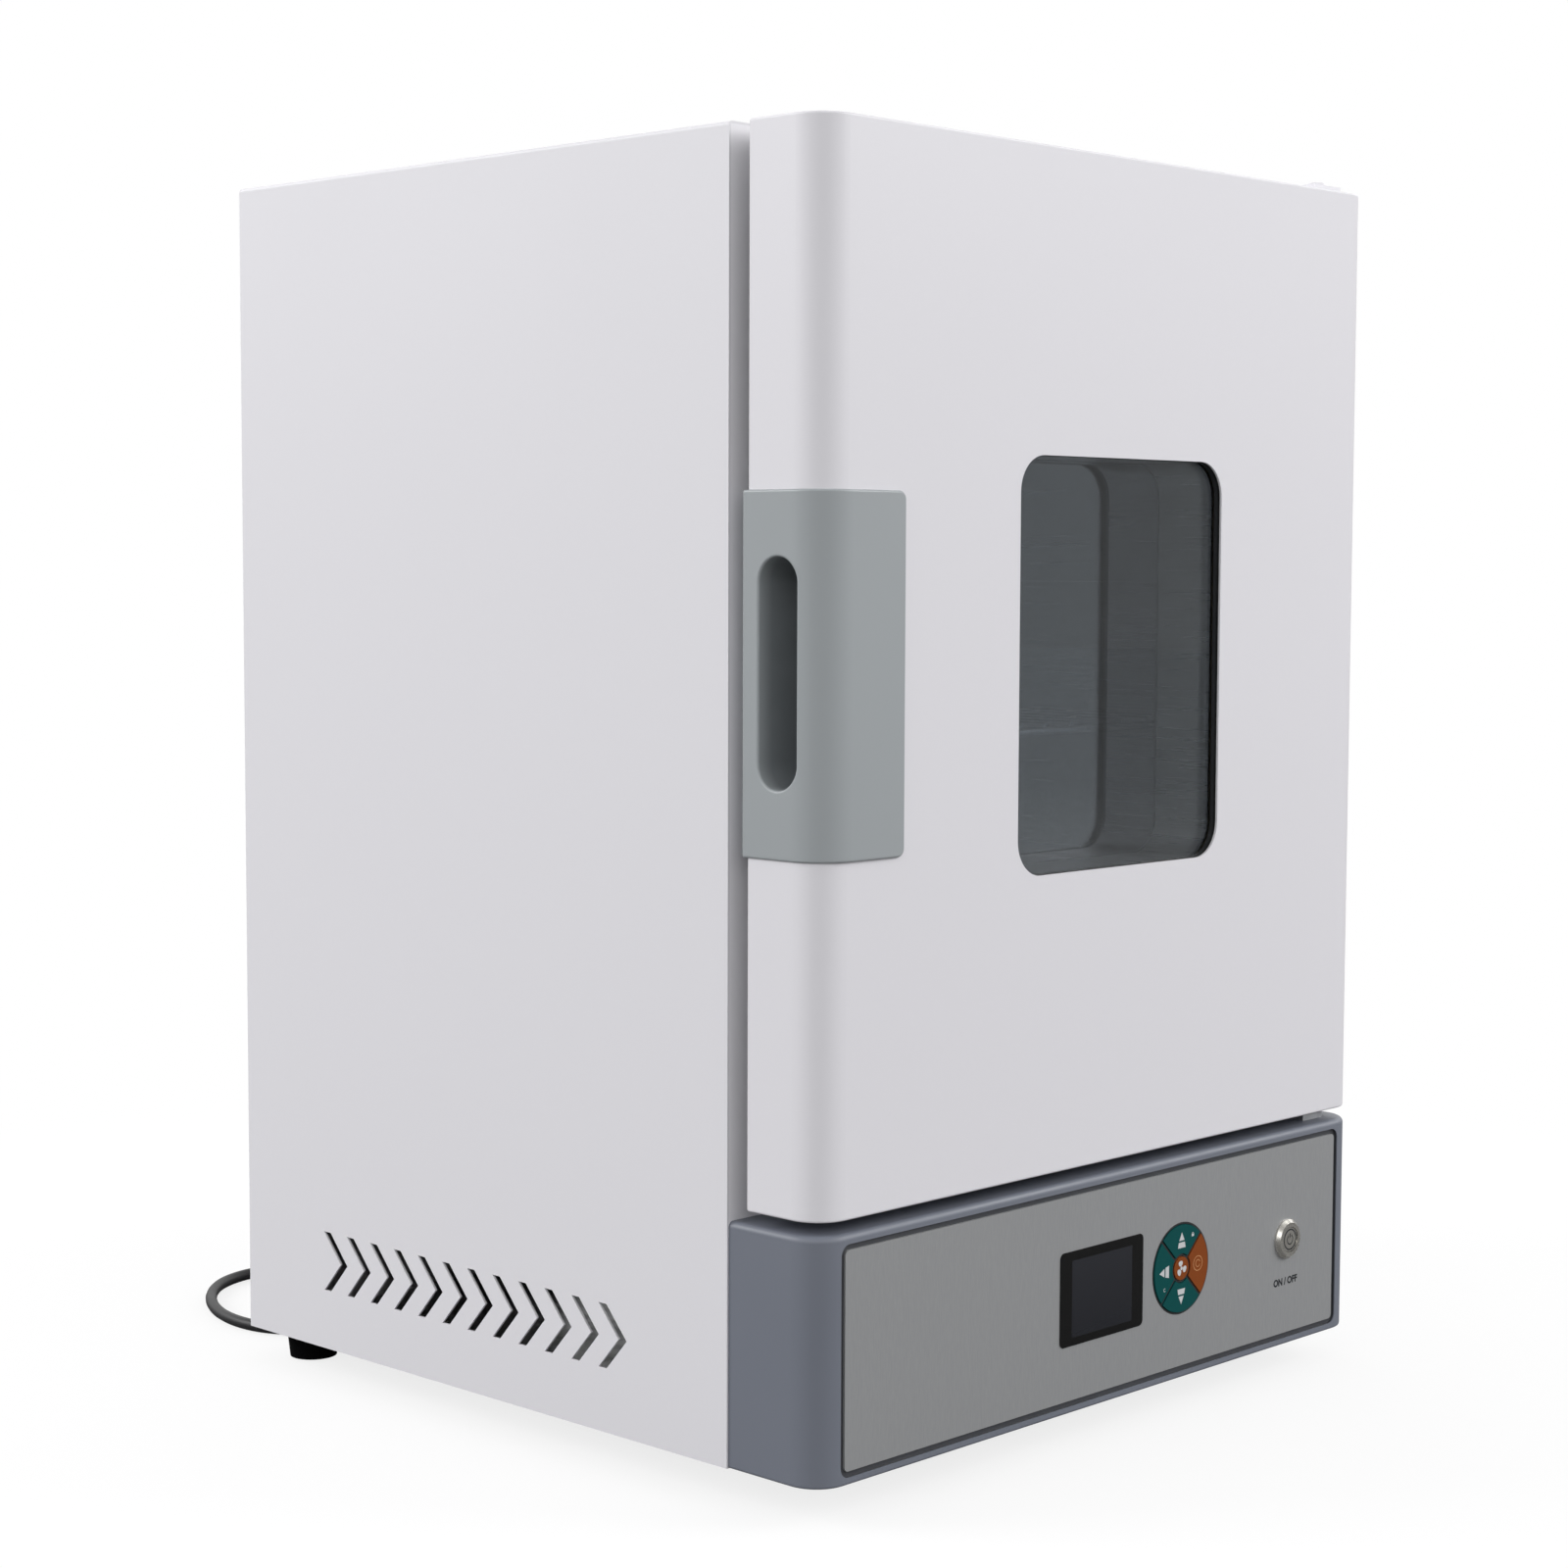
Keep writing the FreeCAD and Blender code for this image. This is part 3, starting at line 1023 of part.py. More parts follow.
def key_shape(name, step, grow, low, high):
    """One quarter key between the middle key and the rim; grow makes the pocket that it sits in."""
    axis = ("keypad_shift", "control_line")
    rim = rod(name + "_rim", "Y", axis, low, high, f"keypad_radius - key_rim - clearance + {grow}")
    eye = rod(name + "_eye", "Y", axis, f"{low} - 1", f"{high} + 1",
              f"middle_key_radius + key_ring - {grow}")
    box = doc.addObject("Part::Box", name + "_wedge")
    bind(box, Length="keypad_radius", Width=between(low, high), Height="keypad_radius")
    turn = FreeCAD.Rotation(Vector(0, 1, 0), 45 + 90 * step)
    box.Placement = FreeCAD.Placement(Vector(), turn)
    across = turn.multVec(Vector(1, 0, 1))
    gap = f"(key_gap / 2 - {grow})"
    place(box, f"keypad_shift + {across.x} * {gap}", low, f"control_line + {across.z} * {gap}")
    return common(name, minus(name + "_ring", rim, eye), box)


def make_keys():
    """The round keypad: a black base with a pocket for each quarter key and a hole for the middle one."""
    axis = ("keypad_shift", "control_line")
    tops = "key_top"
    floor = "key_top + key_tall + key_travel + clearance"
    base = rod("keypad_disc", "Y", axis, "label_front", "label_front + keypad_deep", "keypad_radius - 0.1")
    flange = rod("keypad_flange", "Y", axis, "label_front + keypad_deep - 2", "board_front",
                 "keypad_radius - 2")
    tools = []
    names = ("key_right", "key_down", "key_left", "key_up")
    for step, name in enumerate(names):
        tools.append(key_shape(name + "_pocket", step, "clearance", "label_front - 1", floor))
    tools.append(rod("key_middle_pocket", "Y", axis, "label_front - 1", floor,
                     "middle_key_radius + clearance"))
    keep(minus("keypad_base", plus("keypad_solid", base, flange), *tools), "keypad_base")
    for step, name in enumerate(names):
        keep(key_shape(name, step, "0", tops, "key_top + key_tall"), name)
    keep(rod("key_middle", "Y", axis, tops, "key_top + key_tall", "middle_key_radius"), "key_middle")


def make_switch():
    """The steel power switch: a chamfered flange on a barrel, a nut behind the bezel and a sprung cap."""
    axis = ("switch_line", "control_line")
    low = "label_front - switch_proud"
    cone_part = cone("switch_cone", "Y", axis, low, f"{low} + switch_taper", "switch_radius - 1.6",
                     "switch_radius")
    flange = rod("switch_flange", "Y", axis, f"{low} + switch_taper", "label_front", "switch_radius")
    barrel = rod("switch_barrel", "Y", axis, "label_front", "label_front + barrel_length",
                 "barrel_radius - 0.1")
    bore = rod("switch_bore", "Y", axis, f"{low} - 1", f"{low} + cap_length + cap_travel + 1",
               "cap_radius + clearance")
    keep(minus("power_switch_body", plus("switch_solid", cone_part, flange, barrel), bore),
         "power_switch_body")
    keep(rod("power_button", "Y", axis, f"{low} + clearance", f"{low} + cap_length", "cap_radius"),
         "power_button")
    body = new_body("power_switch_nut")
    back = "face + bezel_wall + groove_deep"
    prism(body, "XZ", back, f"{back} + nut_thick",
          circle("switch_line", "control_line", "nut_width / 2"),
          circle("switch_line", "control_line", "barrel_radius"))
    keep(body, "power_switch_nut")


def make_electronics():
    """The board behind the controls, the heater's relay with its fins and the terminal block."""
    half = "board_width / 2"
    middle = "screen_shift + board_shift"
    low = "control_line - board_height / 2"
    board = block("board_plate", (f"{middle} - {half}", f"{middle} + {half}"),
                  ("board_front", "board_front + board_thick"), (low, f"{low} + board_height"))
    parts = [board]
    for x in (f"{middle} - {half} + post_inset", f"{middle} + {half} - post_inset"):
        for z in (f"{low} + post_inset", f"{low} + board_height - post_inset"):
            parts.append(rod("board_post", "Y", (x, z), "face + bezel_wall + groove_deep", "board_front",
                             "post_radius"))
    keep(plus("control_board", *parts), "control_board")
    left = "-relay_width / 2"
    front_side = "front + relay_back"
    body = new_body("heater_relay")
    base = "bottom + sheet"
    prism(body, "XY", base, f"{base} + relay_height * 0.6", rectangle(
        left, "relay_width / 2", front_side, f"{front_side} + relay_depth"))
    fin = prism(body, "XY", f"{base} + relay_height * 0.5", f"{base} + relay_height", rectangle(
        left, f"{left} + fin", front_side, f"{front_side} + relay_depth"))
    repeat(body, fin, "X", "(relay_width - fin) / (fin_count - 1)", "fin_count")
    keep(body, "heater_relay")
    x = "gland_shift + terminal_shift"
    y = "rear - sheet - terminal_back"
    case = block("terminal_case", (x, f"{x} + terminal_width"), (y, f"{y} + terminal_depth"),
                 (base, f"{base} + terminal_height"))
    slots = []
    for number in range(1, 6):
        middle = f"{x} + terminal_width * {number} / 6"
        slots.append(block("terminal_gap", (f"{middle} - terminal_slot / 2", f"{middle} + terminal_slot / 2"),
                           (f"{y} - 1", f"{y} + terminal_depth + 1"),
                           (f"{base} + terminal_height * 0.6", f"{base} + terminal_height + 1")))
    keep(minus("terminal_block", case, *slots), "terminal_block")


def make_gland():
    """The cord's gland: a flange and nut on the rear panel and a ribbed strain relief behind it."""
    axis = ("gland_shift", "gland_line")
    inside = "rear - sheet - gland_inside"
    outside = "rear + gland_flange"
    shank = rod("gland_shank", "Y", axis, inside, "rear", "gland_radius * 0.7")
    nut = rod("gland_nut", "Y", axis, inside, f"{inside} + gland_nut", "gland_radius")
    flange = rod("gland_rim", "Y", axis, "rear", outside, "gland_radius")
    sleeve = cone("gland_sleeve", "Y", axis, outside, "rear + gland_length", "gland_radius * 0.75",
                  "cord_radius + 1.5")
    rings = [rod(f"gland_ring_{n}", "Y", axis, f"{outside} + {3 + 4 * n}", f"{outside} + {4.6 + 4 * n}",
                 f"gland_radius * 0.78 - {0.5 * n}") for n in range(3)]
    keep(plus("cord_gland", shank, nut, flange, sleeve, *rings), "cord_gland")


CORD_POINTS = [
    (-56, 225.45, 48), (-57, 255, 46.5), (-58, 283, 32), (-62, 311, 12), (-77, 338, 3.4),
    (-105, 356, 3.4), (-138, 348.5, 3.4), (-164, 324.5, 3.4), (-182, 292.5, 3.4), (-188.5, 262, 3.4),
    (-184, 235.5, 3.4), (-167, 217.5, 3.4), (-137, 211.5, 3.4), (-101, 211.5, 3.4), (-56, 213.5, 3.4),
    (-11, 217, 3.4), (24, 220.5, 3.4), (57, 224, 3.4),
]
ARC_SHARE = 0.45


def cord_path(points):
    """Straight runs joined by tangent arcs, each as large as the shorter of its two runs allows."""
    spots = [Vector(*point) for point in points]
    edges = []
    radii = []
    last = spots[0]
    for before, corner, after in zip(spots, spots[1:], spots[2:]):
        way_in = (corner - before).normalize()
        way_out = (after - corner).normalize()
        turn = way_in.getAngle(way_out)
        cut = ARC_SHARE * min(corner.distanceToPoint(before), corner.distanceToPoint(after))
        radii.append(cut / math.tan(turn / 2))
        start = corner - way_in * cut
        end = corner + way_out * cut
        sag = radii[-1] * (1 / math.cos(turn / 2) - 1)
        middle = corner + (way_out - way_in).normalize() * sag
        edges.append(Part.LineSegment(last, start).toShape())
        edges.append(Part.Arc(start, middle, end).toShape())
        last = end
    edges.append(Part.LineSegment(last, spots[-1]).toShape())
    return Part.Wire(edges), radii


def make_cord():
    """The mains cord: a tube from the gland to the coil, the coil's outer shape, and the plug beside it."""
    wire, radii = cord_path(CORD_POINTS)
    radius = amount("cord_radius")
    start = Vector(*CORD_POINTS[0])
    ring = Part.Wire([Part.Circle(start, Vector(*CORD_POINTS[1]) - start, radius).toShape()])
    tube = wire.makePipeShell([ring], True, True)
    expected = math.pi * radius ** 2 * wire.Length
    print("cord radii", [round(value, 1) for value in radii])
    print("cord length", round(wire.Length, 1), "volume ratio", round(tube.Volume / expected, 5))
    if abs(tube.Volume / expected - 1) > 0.01:
        raise ValueError("the cord's tube doesn't have the volume of its length")
    cord = doc.addObject("Part::Feature", "power_cord")
    cord.Shape = tube
    keep(cord, "power_cord")
    centre = ("coil_shift", "coil_line")
    outer = rod("coil_outer", "Z", centre, "0", "coil_height", "coil_radius + coil_width / 2")
    inner = rod("coil_inner", "Z", centre, "-1", "coil_height + 1", "coil_radius - coil_width / 2")
    keep(minus("cord_coil", outer, inner), "cord_coil")
    x = "coil_shift + coil_radius + coil_width / 2 - cord_radius"
    back = "coil_line + plug_back"
    middle = "plug_height / 2"
    case = new_body("plug_case")
    prism(case, "XZ", back, f"{back} + plug_length", rounded(
        f"{x} - plug_width / 2", f"{x} + plug_width / 2", "0", "plug_height", "plug_round"))
    sleeve = cone("plug_sleeve", "Y", (x, middle), f"{back} - plug_back / 2", back,
                  "cord_radius + 1", "cord_radius + 3")
    pins = []
    for side in (-1, 0, 1):
        low = f"{x} + {side} * pin_pitch - pin_thick / 2"
        level = f"{middle} + pin_lift" if side else f"{middle} - pin_lift"
        pins.append(block("plug_pin", (low, f"{low} + pin_thick"),
                          (f"{back} + plug_length", f"{back} + plug_length + pin_length"),
                          (f"{level} - pin_width / 2", f"{level} + pin_width / 2")))
    keep(plus("power_plug", case, sleeve, *pins), "power_plug")


def make_screws():
    """The screws' low domed heads on the back and on the upper hinge, all in one group."""
    heads = []
    side = "(casing_width / 2 - screw_inset)"
    spots = [(f"{way}{side}", level) for way in ("-", "")
             for level in ("bottom + 3 * screw_inset", "fan_line", "top - screw_inset")]
    for x, z in spots:
        heads.append(cone("screw_rear", "Y", (x, z), "rear", "rear + screw_head",
                          "screw_radius", "screw_radius / 2"))
    half = "(cover_width / 2 - cover_flange / 2)"
    for x in (f"-{half}", half):
        for z in (f"fan_line - {half}", f"fan_line + {half}"):
            heads.append(cone("screw_cover", "Y", (x, z), "rear + sheet", "rear + sheet + screw_head",
                              "screw_radius", "screw_radius / 2"))
    plate = "top + hinge_lift + hinge_plate"
    for x in ("hinge_axis - hinge_width / 4", "hinge_axis + hinge_width / 4"):
        heads.append(cone("screw_hinge", "Z", (x, "front + hinge_tail / 2"), plate, f"{plate} + screw_head",
                          "screw_radius", "screw_radius / 2"))
    keep(group("panel_screws", *heads), "panel_screws")


def write_parts():
    """Checks every object and sub-part, then writes each sub-part to a file of its own."""
    doc.recompute()
    broken = [item.Name for item in doc.Objects if {"Invalid", "Error"} & set(item.State)]
    if broken:
        raise ValueError(f"failed objects: {broken}")
    for item in PARTS:
        if item.Shape.isNull() or not item.Shape.isValid():
            raise ValueError(f"{item.Label} has no valid shape")
    os.makedirs("parts", exist_ok=True)
    for item in PARTS:
        item.Shape.exportStep(f"parts/{item.Label}.step")
        print(item.Label, len(item.Shape.Solids), round(item.Shape.Volume))


for make in (make_casing, make_frame, make_rear_panel, make_base, make_feet, make_liner, make_wool,
             make_baffle, make_impeller, make_rotor, make_motor, make_rear_cover, make_heater, make_probe,
             make_exhaust, make_shelves, make_door, make_door_inside, make_window, make_handle,
             make_hinges, make_bezel, make_keys, make_switch, make_electronics, make_gland, make_cord,
             make_screws):
    make()
write_parts()
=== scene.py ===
import math

import bpy
import numpy as np
from mathutils import Matrix, Vector


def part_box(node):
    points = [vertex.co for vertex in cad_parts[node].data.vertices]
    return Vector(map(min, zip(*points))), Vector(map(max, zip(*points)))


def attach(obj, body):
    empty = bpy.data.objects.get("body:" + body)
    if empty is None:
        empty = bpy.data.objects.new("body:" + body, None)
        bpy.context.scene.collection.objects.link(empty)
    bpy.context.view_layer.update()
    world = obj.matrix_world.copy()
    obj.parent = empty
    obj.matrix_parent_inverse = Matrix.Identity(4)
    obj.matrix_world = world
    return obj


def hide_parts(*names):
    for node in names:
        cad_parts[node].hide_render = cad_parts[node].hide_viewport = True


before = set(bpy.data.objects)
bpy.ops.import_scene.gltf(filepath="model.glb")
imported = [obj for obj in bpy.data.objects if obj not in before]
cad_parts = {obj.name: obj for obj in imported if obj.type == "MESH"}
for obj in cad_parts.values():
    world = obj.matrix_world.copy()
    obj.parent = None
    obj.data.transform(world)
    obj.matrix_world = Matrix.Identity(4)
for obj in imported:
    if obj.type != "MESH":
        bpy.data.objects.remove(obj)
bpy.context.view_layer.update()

# Casing
# One bent steel sheet for both sides and the roof, with the front frame welded in. The rear panel and the
# guard over the motor are screwed on. All have a satin cool-white powder coat, whose skin is slightly wavy
# like orange peel.


def new_finish(name, colour, roughness, metallic=0.0, **sockets):
    """A material with its plain values on the Principled shader's own sockets."""
    material = bpy.data.materials.new(name)
    material.use_nodes = True
    skin = material.node_tree.nodes["Principled BSDF"]
    skin.inputs["Base Color"].default_value = (*colour, 1)
    skin.inputs["Roughness"].default_value = roughness
    skin.inputs["Metallic"].default_value = metallic
    for socket, value in sockets.items():
        skin.inputs[socket.replace("_", " ")].default_value = value
    return material, skin


def feed(tree, value, socket):
    """Links a node's output to a socket, or sets the socket to a plain number or colour."""
    if isinstance(value, bpy.types.NodeSocket):
        tree.links.new(value, socket)
    elif socket.type == "RGBA":
        socket.default_value = (*value, 1)
    else:
        socket.default_value = value


def blend_colours(tree, low, high, factor):
    """A colour that runs from low to high as the factor rises."""
    mix = tree.nodes.new("ShaderNodeMix")
    mix.data_type = "RGBA"
    live = {socket.name: socket for socket in mix.inputs if socket.enabled}
    for name, value in (("A", low), ("B", high), ("Factor", factor)):
        feed(tree, value, live[name])
    return next(socket for socket in mix.outputs if socket.enabled)


def spread(tree, value, low, high, low_from=0.0, high_from=1.0):
    """Stretches a value from one range to another."""
    node = tree.nodes.new("ShaderNodeMapRange")
    for name, given in (("Value", value), ("From Min", low_from), ("From Max", high_from),
                        ("To Min", low), ("To Max", high)):
        feed(tree, given, node.inputs[name])
    return node.outputs["Result"]


def maths(tree, operation, *values):
    """A Math node on sockets or plain numbers."""
    node = tree.nodes.new("ShaderNodeMath")
    node.operation = operation
    for value, socket in zip(values, node.inputs):
        feed(tree, value, socket)
    return node.outputs[0]


def weighed(tree, first, share, second):
    """The first pattern by its share, plus the second by the rest."""
    rest = maths(tree, "MULTIPLY", second, 1 - share)
    return maths(tree, "ADD", maths(tree, "MULTIPLY", first, share), rest)


def own_place(tree):
    """The piece's own coordinates, in metres."""
    return tree.nodes.new("ShaderNodeTexCoord").outputs["Object"]


def noise(tree, scale, detail=2.0, stretch=None, roughness=0.5):
    """Noise on the piece's own coordinates, drawn out along the axes where a stretch is given."""
    place = own_place(tree)
    if stretch is not None:
        mapping = tree.nodes.new("ShaderNodeMapping")
        feed(tree, place, mapping.inputs["Vector"])
        feed(tree, stretch, mapping.inputs["Scale"])
        place = mapping.outputs["Vector"]
    node = tree.nodes.new("ShaderNodeTexNoise")
    for name, value in (("Vector", place), ("Scale", scale), ("Detail", detail), ("Roughness", roughness)):
        feed(tree, value, node.inputs[name])
    return node.outputs["Fac"]


def surface_group(name, control, kind, pattern):
    """A shader group for a finish that several materials share. Its pattern takes the control and gives the
    tone, which mixes Colour and Shade, the wear, which dulls Gloss by up to a step, that step, and the
    height."""
    number, colour = "NodeSocketFloat", "NodeSocketColor"
    tree = bpy.data.node_groups.new(name, "ShaderNodeTree")
    for way, sockets in (("INPUT", {"Colour": colour, "Shade": colour, "Gloss": number, control: kind}),
                         ("OUTPUT", {"Colour": colour, "Roughness": number, "Height": number})):
        for socket, socket_kind in sockets.items():
            tree.interface.new_socket(socket, in_out=way, socket_type=socket_kind)
    source = tree.nodes.new("NodeGroupInput").outputs
    result = tree.nodes.new("NodeGroupOutput").inputs
    tone, wear, step, height = pattern(tree, source[control])
    dull = maths(tree, "ADD", source["Gloss"], step)
    tree.links.new(blend_colours(tree, source["Colour"], source["Shade"], tone), result["Colour"])
    tree.links.new(spread(tree, wear, source["Gloss"], dull, 0.3, 0.7), result["Roughness"])
    tree.links.new(height, result["Height"])
    return tree


def paint_pattern(tree, peel):
    """Powder coat: peel-sized waves for the height, and slow patches that shift its tone and its gloss."""
    patches = noise(tree, 5.0, 3.0)
    return weighed(tree, patches, 0.75, noise(tree, 420.0, 3.0)), patches, 0.1, noise(tree, peel, 1.0)


powder_coat = surface_group("powder coat", "Peel", "NodeSocketFloat", paint_pattern)


def raised(tree, skin, height, distance):
    """Gives a shader the relief of a height pattern, whose full height is a distance in metres."""
    bump = tree.nodes.new("ShaderNodeBump")
    bump.inputs["Distance"].default_value = distance
    tree.links.new(height, bump.inputs["Height"])
    tree.links.new(bump.outputs["Normal"], skin.inputs["Normal"])


def textured(material, skin, group, relief, **values):
    """Puts a shared group in a material, with this finish's own values and its relief in metres."""
    tree = material.node_tree
    node = tree.nodes.new("ShaderNodeGroup")
    node.node_tree = group
    for socket, value in values.items():
        feed(tree, value, node.inputs[socket])
    tree.links.new(node.outputs["Colour"], skin.inputs["Base Color"])
    tree.links.new(node.outputs["Roughness"], skin.inputs["Roughness"])
    raised(tree, skin, node.outputs["Height"], relief)


def painted(name, colour, gloss=0.42, peel=330.0):
    """Powder-coated steel, with slow patches a little darker than its colour."""
    material, skin = new_finish(name, colour, gloss, Specular_IOR_Level=0.42)
    shade = [c * 0.965 for c in colour]
    textured(material, skin, powder_coat, 0.00002, Colour=colour, Shade=shade, Gloss=gloss, Peel=peel)
    return material


def give(material, *names):
    """Puts a finish on every slot of these CAD nodes."""
    for name in names:
        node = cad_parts[name]
        if not node.data.materials:
            node.data.materials.append(material)
        for slot in node.material_slots:
            slot.material = material


give(painted("casing_white", (0.70, 0.692, 0.725)), "outer_casing", "rear_panel", "rear_cover", "hinge_upper")
# The frame's white is lighter than the casing's: painted light on its strip shaded by the door.
give(painted("frame_white_painted_light", (0.79, 0.78, 0.815)), "front_frame")

# Base plate and feet
# The base is zinc-plated sheet, cooler than the casing and blotchy where the crystals show. The four feet are
# moulded black rubber, tapered and dull, and are screwed up under its corners.


def zinc_finish():
    """Zinc plate: crystal patches, from the cells of a Voronoi pattern, that differ in tone and gloss."""
    material, skin = new_finish("zinc_plate", (0.55, 0.56, 0.58), 0.4, 0.9)
    tree = material.node_tree
    cells = tree.nodes.new("ShaderNodeTexVoronoi")
    cells.inputs["Scale"].default_value = 130.0
    tree.links.new(own_place(tree), cells.inputs["Vector"])
    shade = tree.nodes.new("ShaderNodeSeparateColor")
    tree.links.new(cells.outputs["Color"], shade.inputs["Color"])
    colour = blend_colours(tree, (0.5, 0.51, 0.53), (0.63, 0.64, 0.65), shade.outputs["Red"])
    tree.links.new(colour, skin.inputs["Base Color"])
    tree.links.new(spread(tree, shade.outputs["Green"], 0.32, 0.5), skin.inputs["Roughness"])
    return material


def grain_pattern(tree, size):
    """Moulded plastic: fine spark-eroded grain for the height, faint flow clouds in tone and gloss."""
    clouds = noise(tree, 9.0, 4.0)
    pits = noise(tree, size, 2.0, roughness=0.7)
    return weighed(tree, clouds, 0.6, pits), clouds, 0.14, pits


grain = surface_group("moulded grain", "Grain", "NodeSocketFloat", grain_pattern)


def moulding(name, colour, gloss, grain_size, depth, lift=1.25, shine=0.45):
    """Moulded plastic or rubber, with clouds lighter than its colour by the lift."""
    material, skin = new_finish(name, colour, gloss, Specular_IOR_Level=shine)
    light = [c * lift for c in colour]
    textured(material, skin, grain, depth, Colour=colour, Shade=light, Gloss=gloss, Grain=grain_size)
    return material


give(zinc_finish(), "base_plate", "motor_bracket", "catch_keeper", "hinge_lower", "panel_screws")
give(moulding("foot_rubber", (0.001, 0.001, 0.0012), 0.6, 900.0, 0.00003, 2.0, 0.05),
     "foot_front_left", "foot_front_right", "foot_rear_left", "foot_rear_right")

# Chamber
# A pan of brushed stainless sheet with a turned-out flange, welded at its corners and brushed from front to
# back. The baffle, the shelf rails and the door's back are the same steel, brushed upright.


def brushed_pattern(tree, lay):
    """Brushed metal: noise drawn out along the brushing, as fine scratches in height, tone and gloss."""
    lines = noise(tree, 1.0, 4.0, stretch=lay, roughness=0.65)
    tone = weighed(tree, lines, 0.7, noise(tree, 7.0, 3.0))
    return spread(tree, tone, 0.0, 1.0, 0.3, 0.7), tone, 0.16, lines


brushed = surface_group("brushed metal", "Lay", "NodeSocketVector", brushed_pattern)


def stainless(name, lay, colour=(0.56, 0.565, 0.57), shade=(0.46, 0.465, 0.47), gloss=0.24, depth=0.000006):
    """Brushed metal. Its lay is how closely the scratches lie along each axis, so low along the brushing."""
    material, skin = new_finish(name, colour, gloss, 1.0)
    textured(material, skin, brushed, depth, Colour=colour, Shade=shade, Gloss=gloss, Lay=lay)
    return material


give(stainless("chamber_steel", (900.0, 12.0, 900.0), shade=(0.52, 0.525, 0.53), gloss=0.23,
               depth=0.0000008), "chamber_liner", "window_sleeve")
give(stainless("upright_steel", (900.0, 900.0, 14.0), gloss=0.23, depth=0.0000015),
     "air_baffle", "shelf_rail_left", "shelf_rail_right", "door_inner_panel")

# Insulation
# Mineral wool boards round the chamber and in the door: yellow-grey matted fibre, cut to size and pressed in
# between the sheets, which hide it.


def wool_finish():
    """Matted fibre: noise drawn out two ways, for the layers, over a fine fuzz."""
    material, skin = new_finish("mineral_wool", (0.42, 0.36, 0.2), 0.95, Specular_IOR_Level=0.1)
    tree = material.node_tree
    layers = noise(tree, 1.0, 5.0, stretch=(160.0, 160.0, 900.0), roughness=0.7)
    mass = weighed(tree, layers, 0.6, noise(tree, 1400.0, 2.0))
    tree.links.new(blend_colours(tree, (0.24, 0.2, 0.1), (0.55, 0.48, 0.3), mass), skin.inputs["Base Color"])
    raised(tree, skin, mass, 0.0012)
    return material


give(wool_finish(), "chamber_insulation", "door_insulation")

# Fan and motor
# A cast aluminium wheel on the turned steel shaft of a motor, whose can is painted black. A small moulded
# fan on the shaft's far end cools the motor. The other small black mouldings are the same plastic.

wheel_alloy, skin = new_finish("wheel_alloy", (0.6, 0.605, 0.62), 0.45, 0.95)
textured(wheel_alloy, skin, grain, 0.00004, Colour=(0.56, 0.565, 0.58), Shade=(0.68, 0.685, 0.7), Gloss=0.4,
         Grain=700.0)
give(wheel_alloy, "fan_impeller", "heater_relay")
give(stainless("shaft_steel", (700.0, 1500.0, 700.0), gloss=0.2), "fan_shaft", "power_switch_nut")
give(painted("motor_black", (0.03, 0.03, 0.033), 0.38, 500.0), "fan_motor")
give(moulding("black_moulding", (0.014, 0.014, 0.015), 0.42, 1600.0, 0.00002, 1.6), "cooling_fan",
     "exhaust_damper", "door_magnet", "display_module", "keypad_base", "terminal_block")

# Heater and probe
# A tubular ring heater round the fan wheel, its ends bent back through the chamber's rear wall and its
# sheath browned and blued by heat. A thin stainless probe is fixed through that wall too, and the exhaust
# duct in the roof is the same steel.


def heated_finish():
    """Heat tint: slow patches from straw brown to blue grey over a dull sheath."""
    material, skin = new_finish("heater_sheath", (0.2, 0.17, 0.15), 0.42, 0.9)
    tree = material.node_tree
    ramp = tree.nodes.new("ShaderNodeValToRGB")
    stops = ramp.color_ramp.elements
    stops[0].position, stops[0].color = 0.3, (0.1, 0.095, 0.1, 1)
    stops[1].position, stops[1].color = 0.7, (0.26, 0.19, 0.12, 1)
    middle = stops.new(0.5)
    middle.color = (0.15, 0.14, 0.17, 1)
    tree.links.new(noise(tree, 30.0, 4.0), ramp.inputs["Fac"])
    tree.links.new(ramp.outputs["Color"], skin.inputs["Base Color"])
    tree.links.new(spread(tree, noise(tree, 300.0, 3.0), 0.35, 0.6, 0.3, 0.7), skin.inputs["Roughness"])
    return material


give(heated_finish(), "heater_coil")
give(stainless("probe_steel", (600.0, 30.0, 600.0), gloss=0.18), "temperature_probe", "exhaust_duct")

# Shelves
# Frames of thick steel wire with thin rods spot-welded across them, bright plated after the welding. They
# slide in on the rails' ledges.

give(stainless("plated_wire", (400.0, 60.0, 400.0), (0.95, 0.95, 0.96), (0.84, 0.84, 0.85), 0.16, 0.000001),
     "shelf_lower", "shelf_upper")

# Door
# A folded steel pan with the casing's coat and a brushed stainless back. A grey silicone gasket is pushed
# into a seat on the back.

give(painted("door_white", (0.71, 0.70, 0.735), 0.38, 300.0), "door_shell")
give(moulding("gasket_silicone", (0.16, 0.165, 0.17), 0.5, 600.0, 0.00003, 1.2), "door_gasket")

# Window
# Two toughened panes with a stainless sleeve between them. The outer one lies in a black rubber seal behind
# the door's skin, and the inner one against the door's back. Each pane lets the lamps' light through to the
# chamber.


def mix_shaders(tree, first, second, factor):
    """Shows the first shader where the factor is nought, and the second where it is one."""
    mix = tree.nodes.new("ShaderNodeMixShader")
    for value, socket in zip((factor, first.outputs[0], second.outputs[0]), mix.inputs):
        tree.links.new(value, socket)
    tree.links.new(mix.outputs["Shader"], tree.nodes["Material Output"].inputs["Surface"])


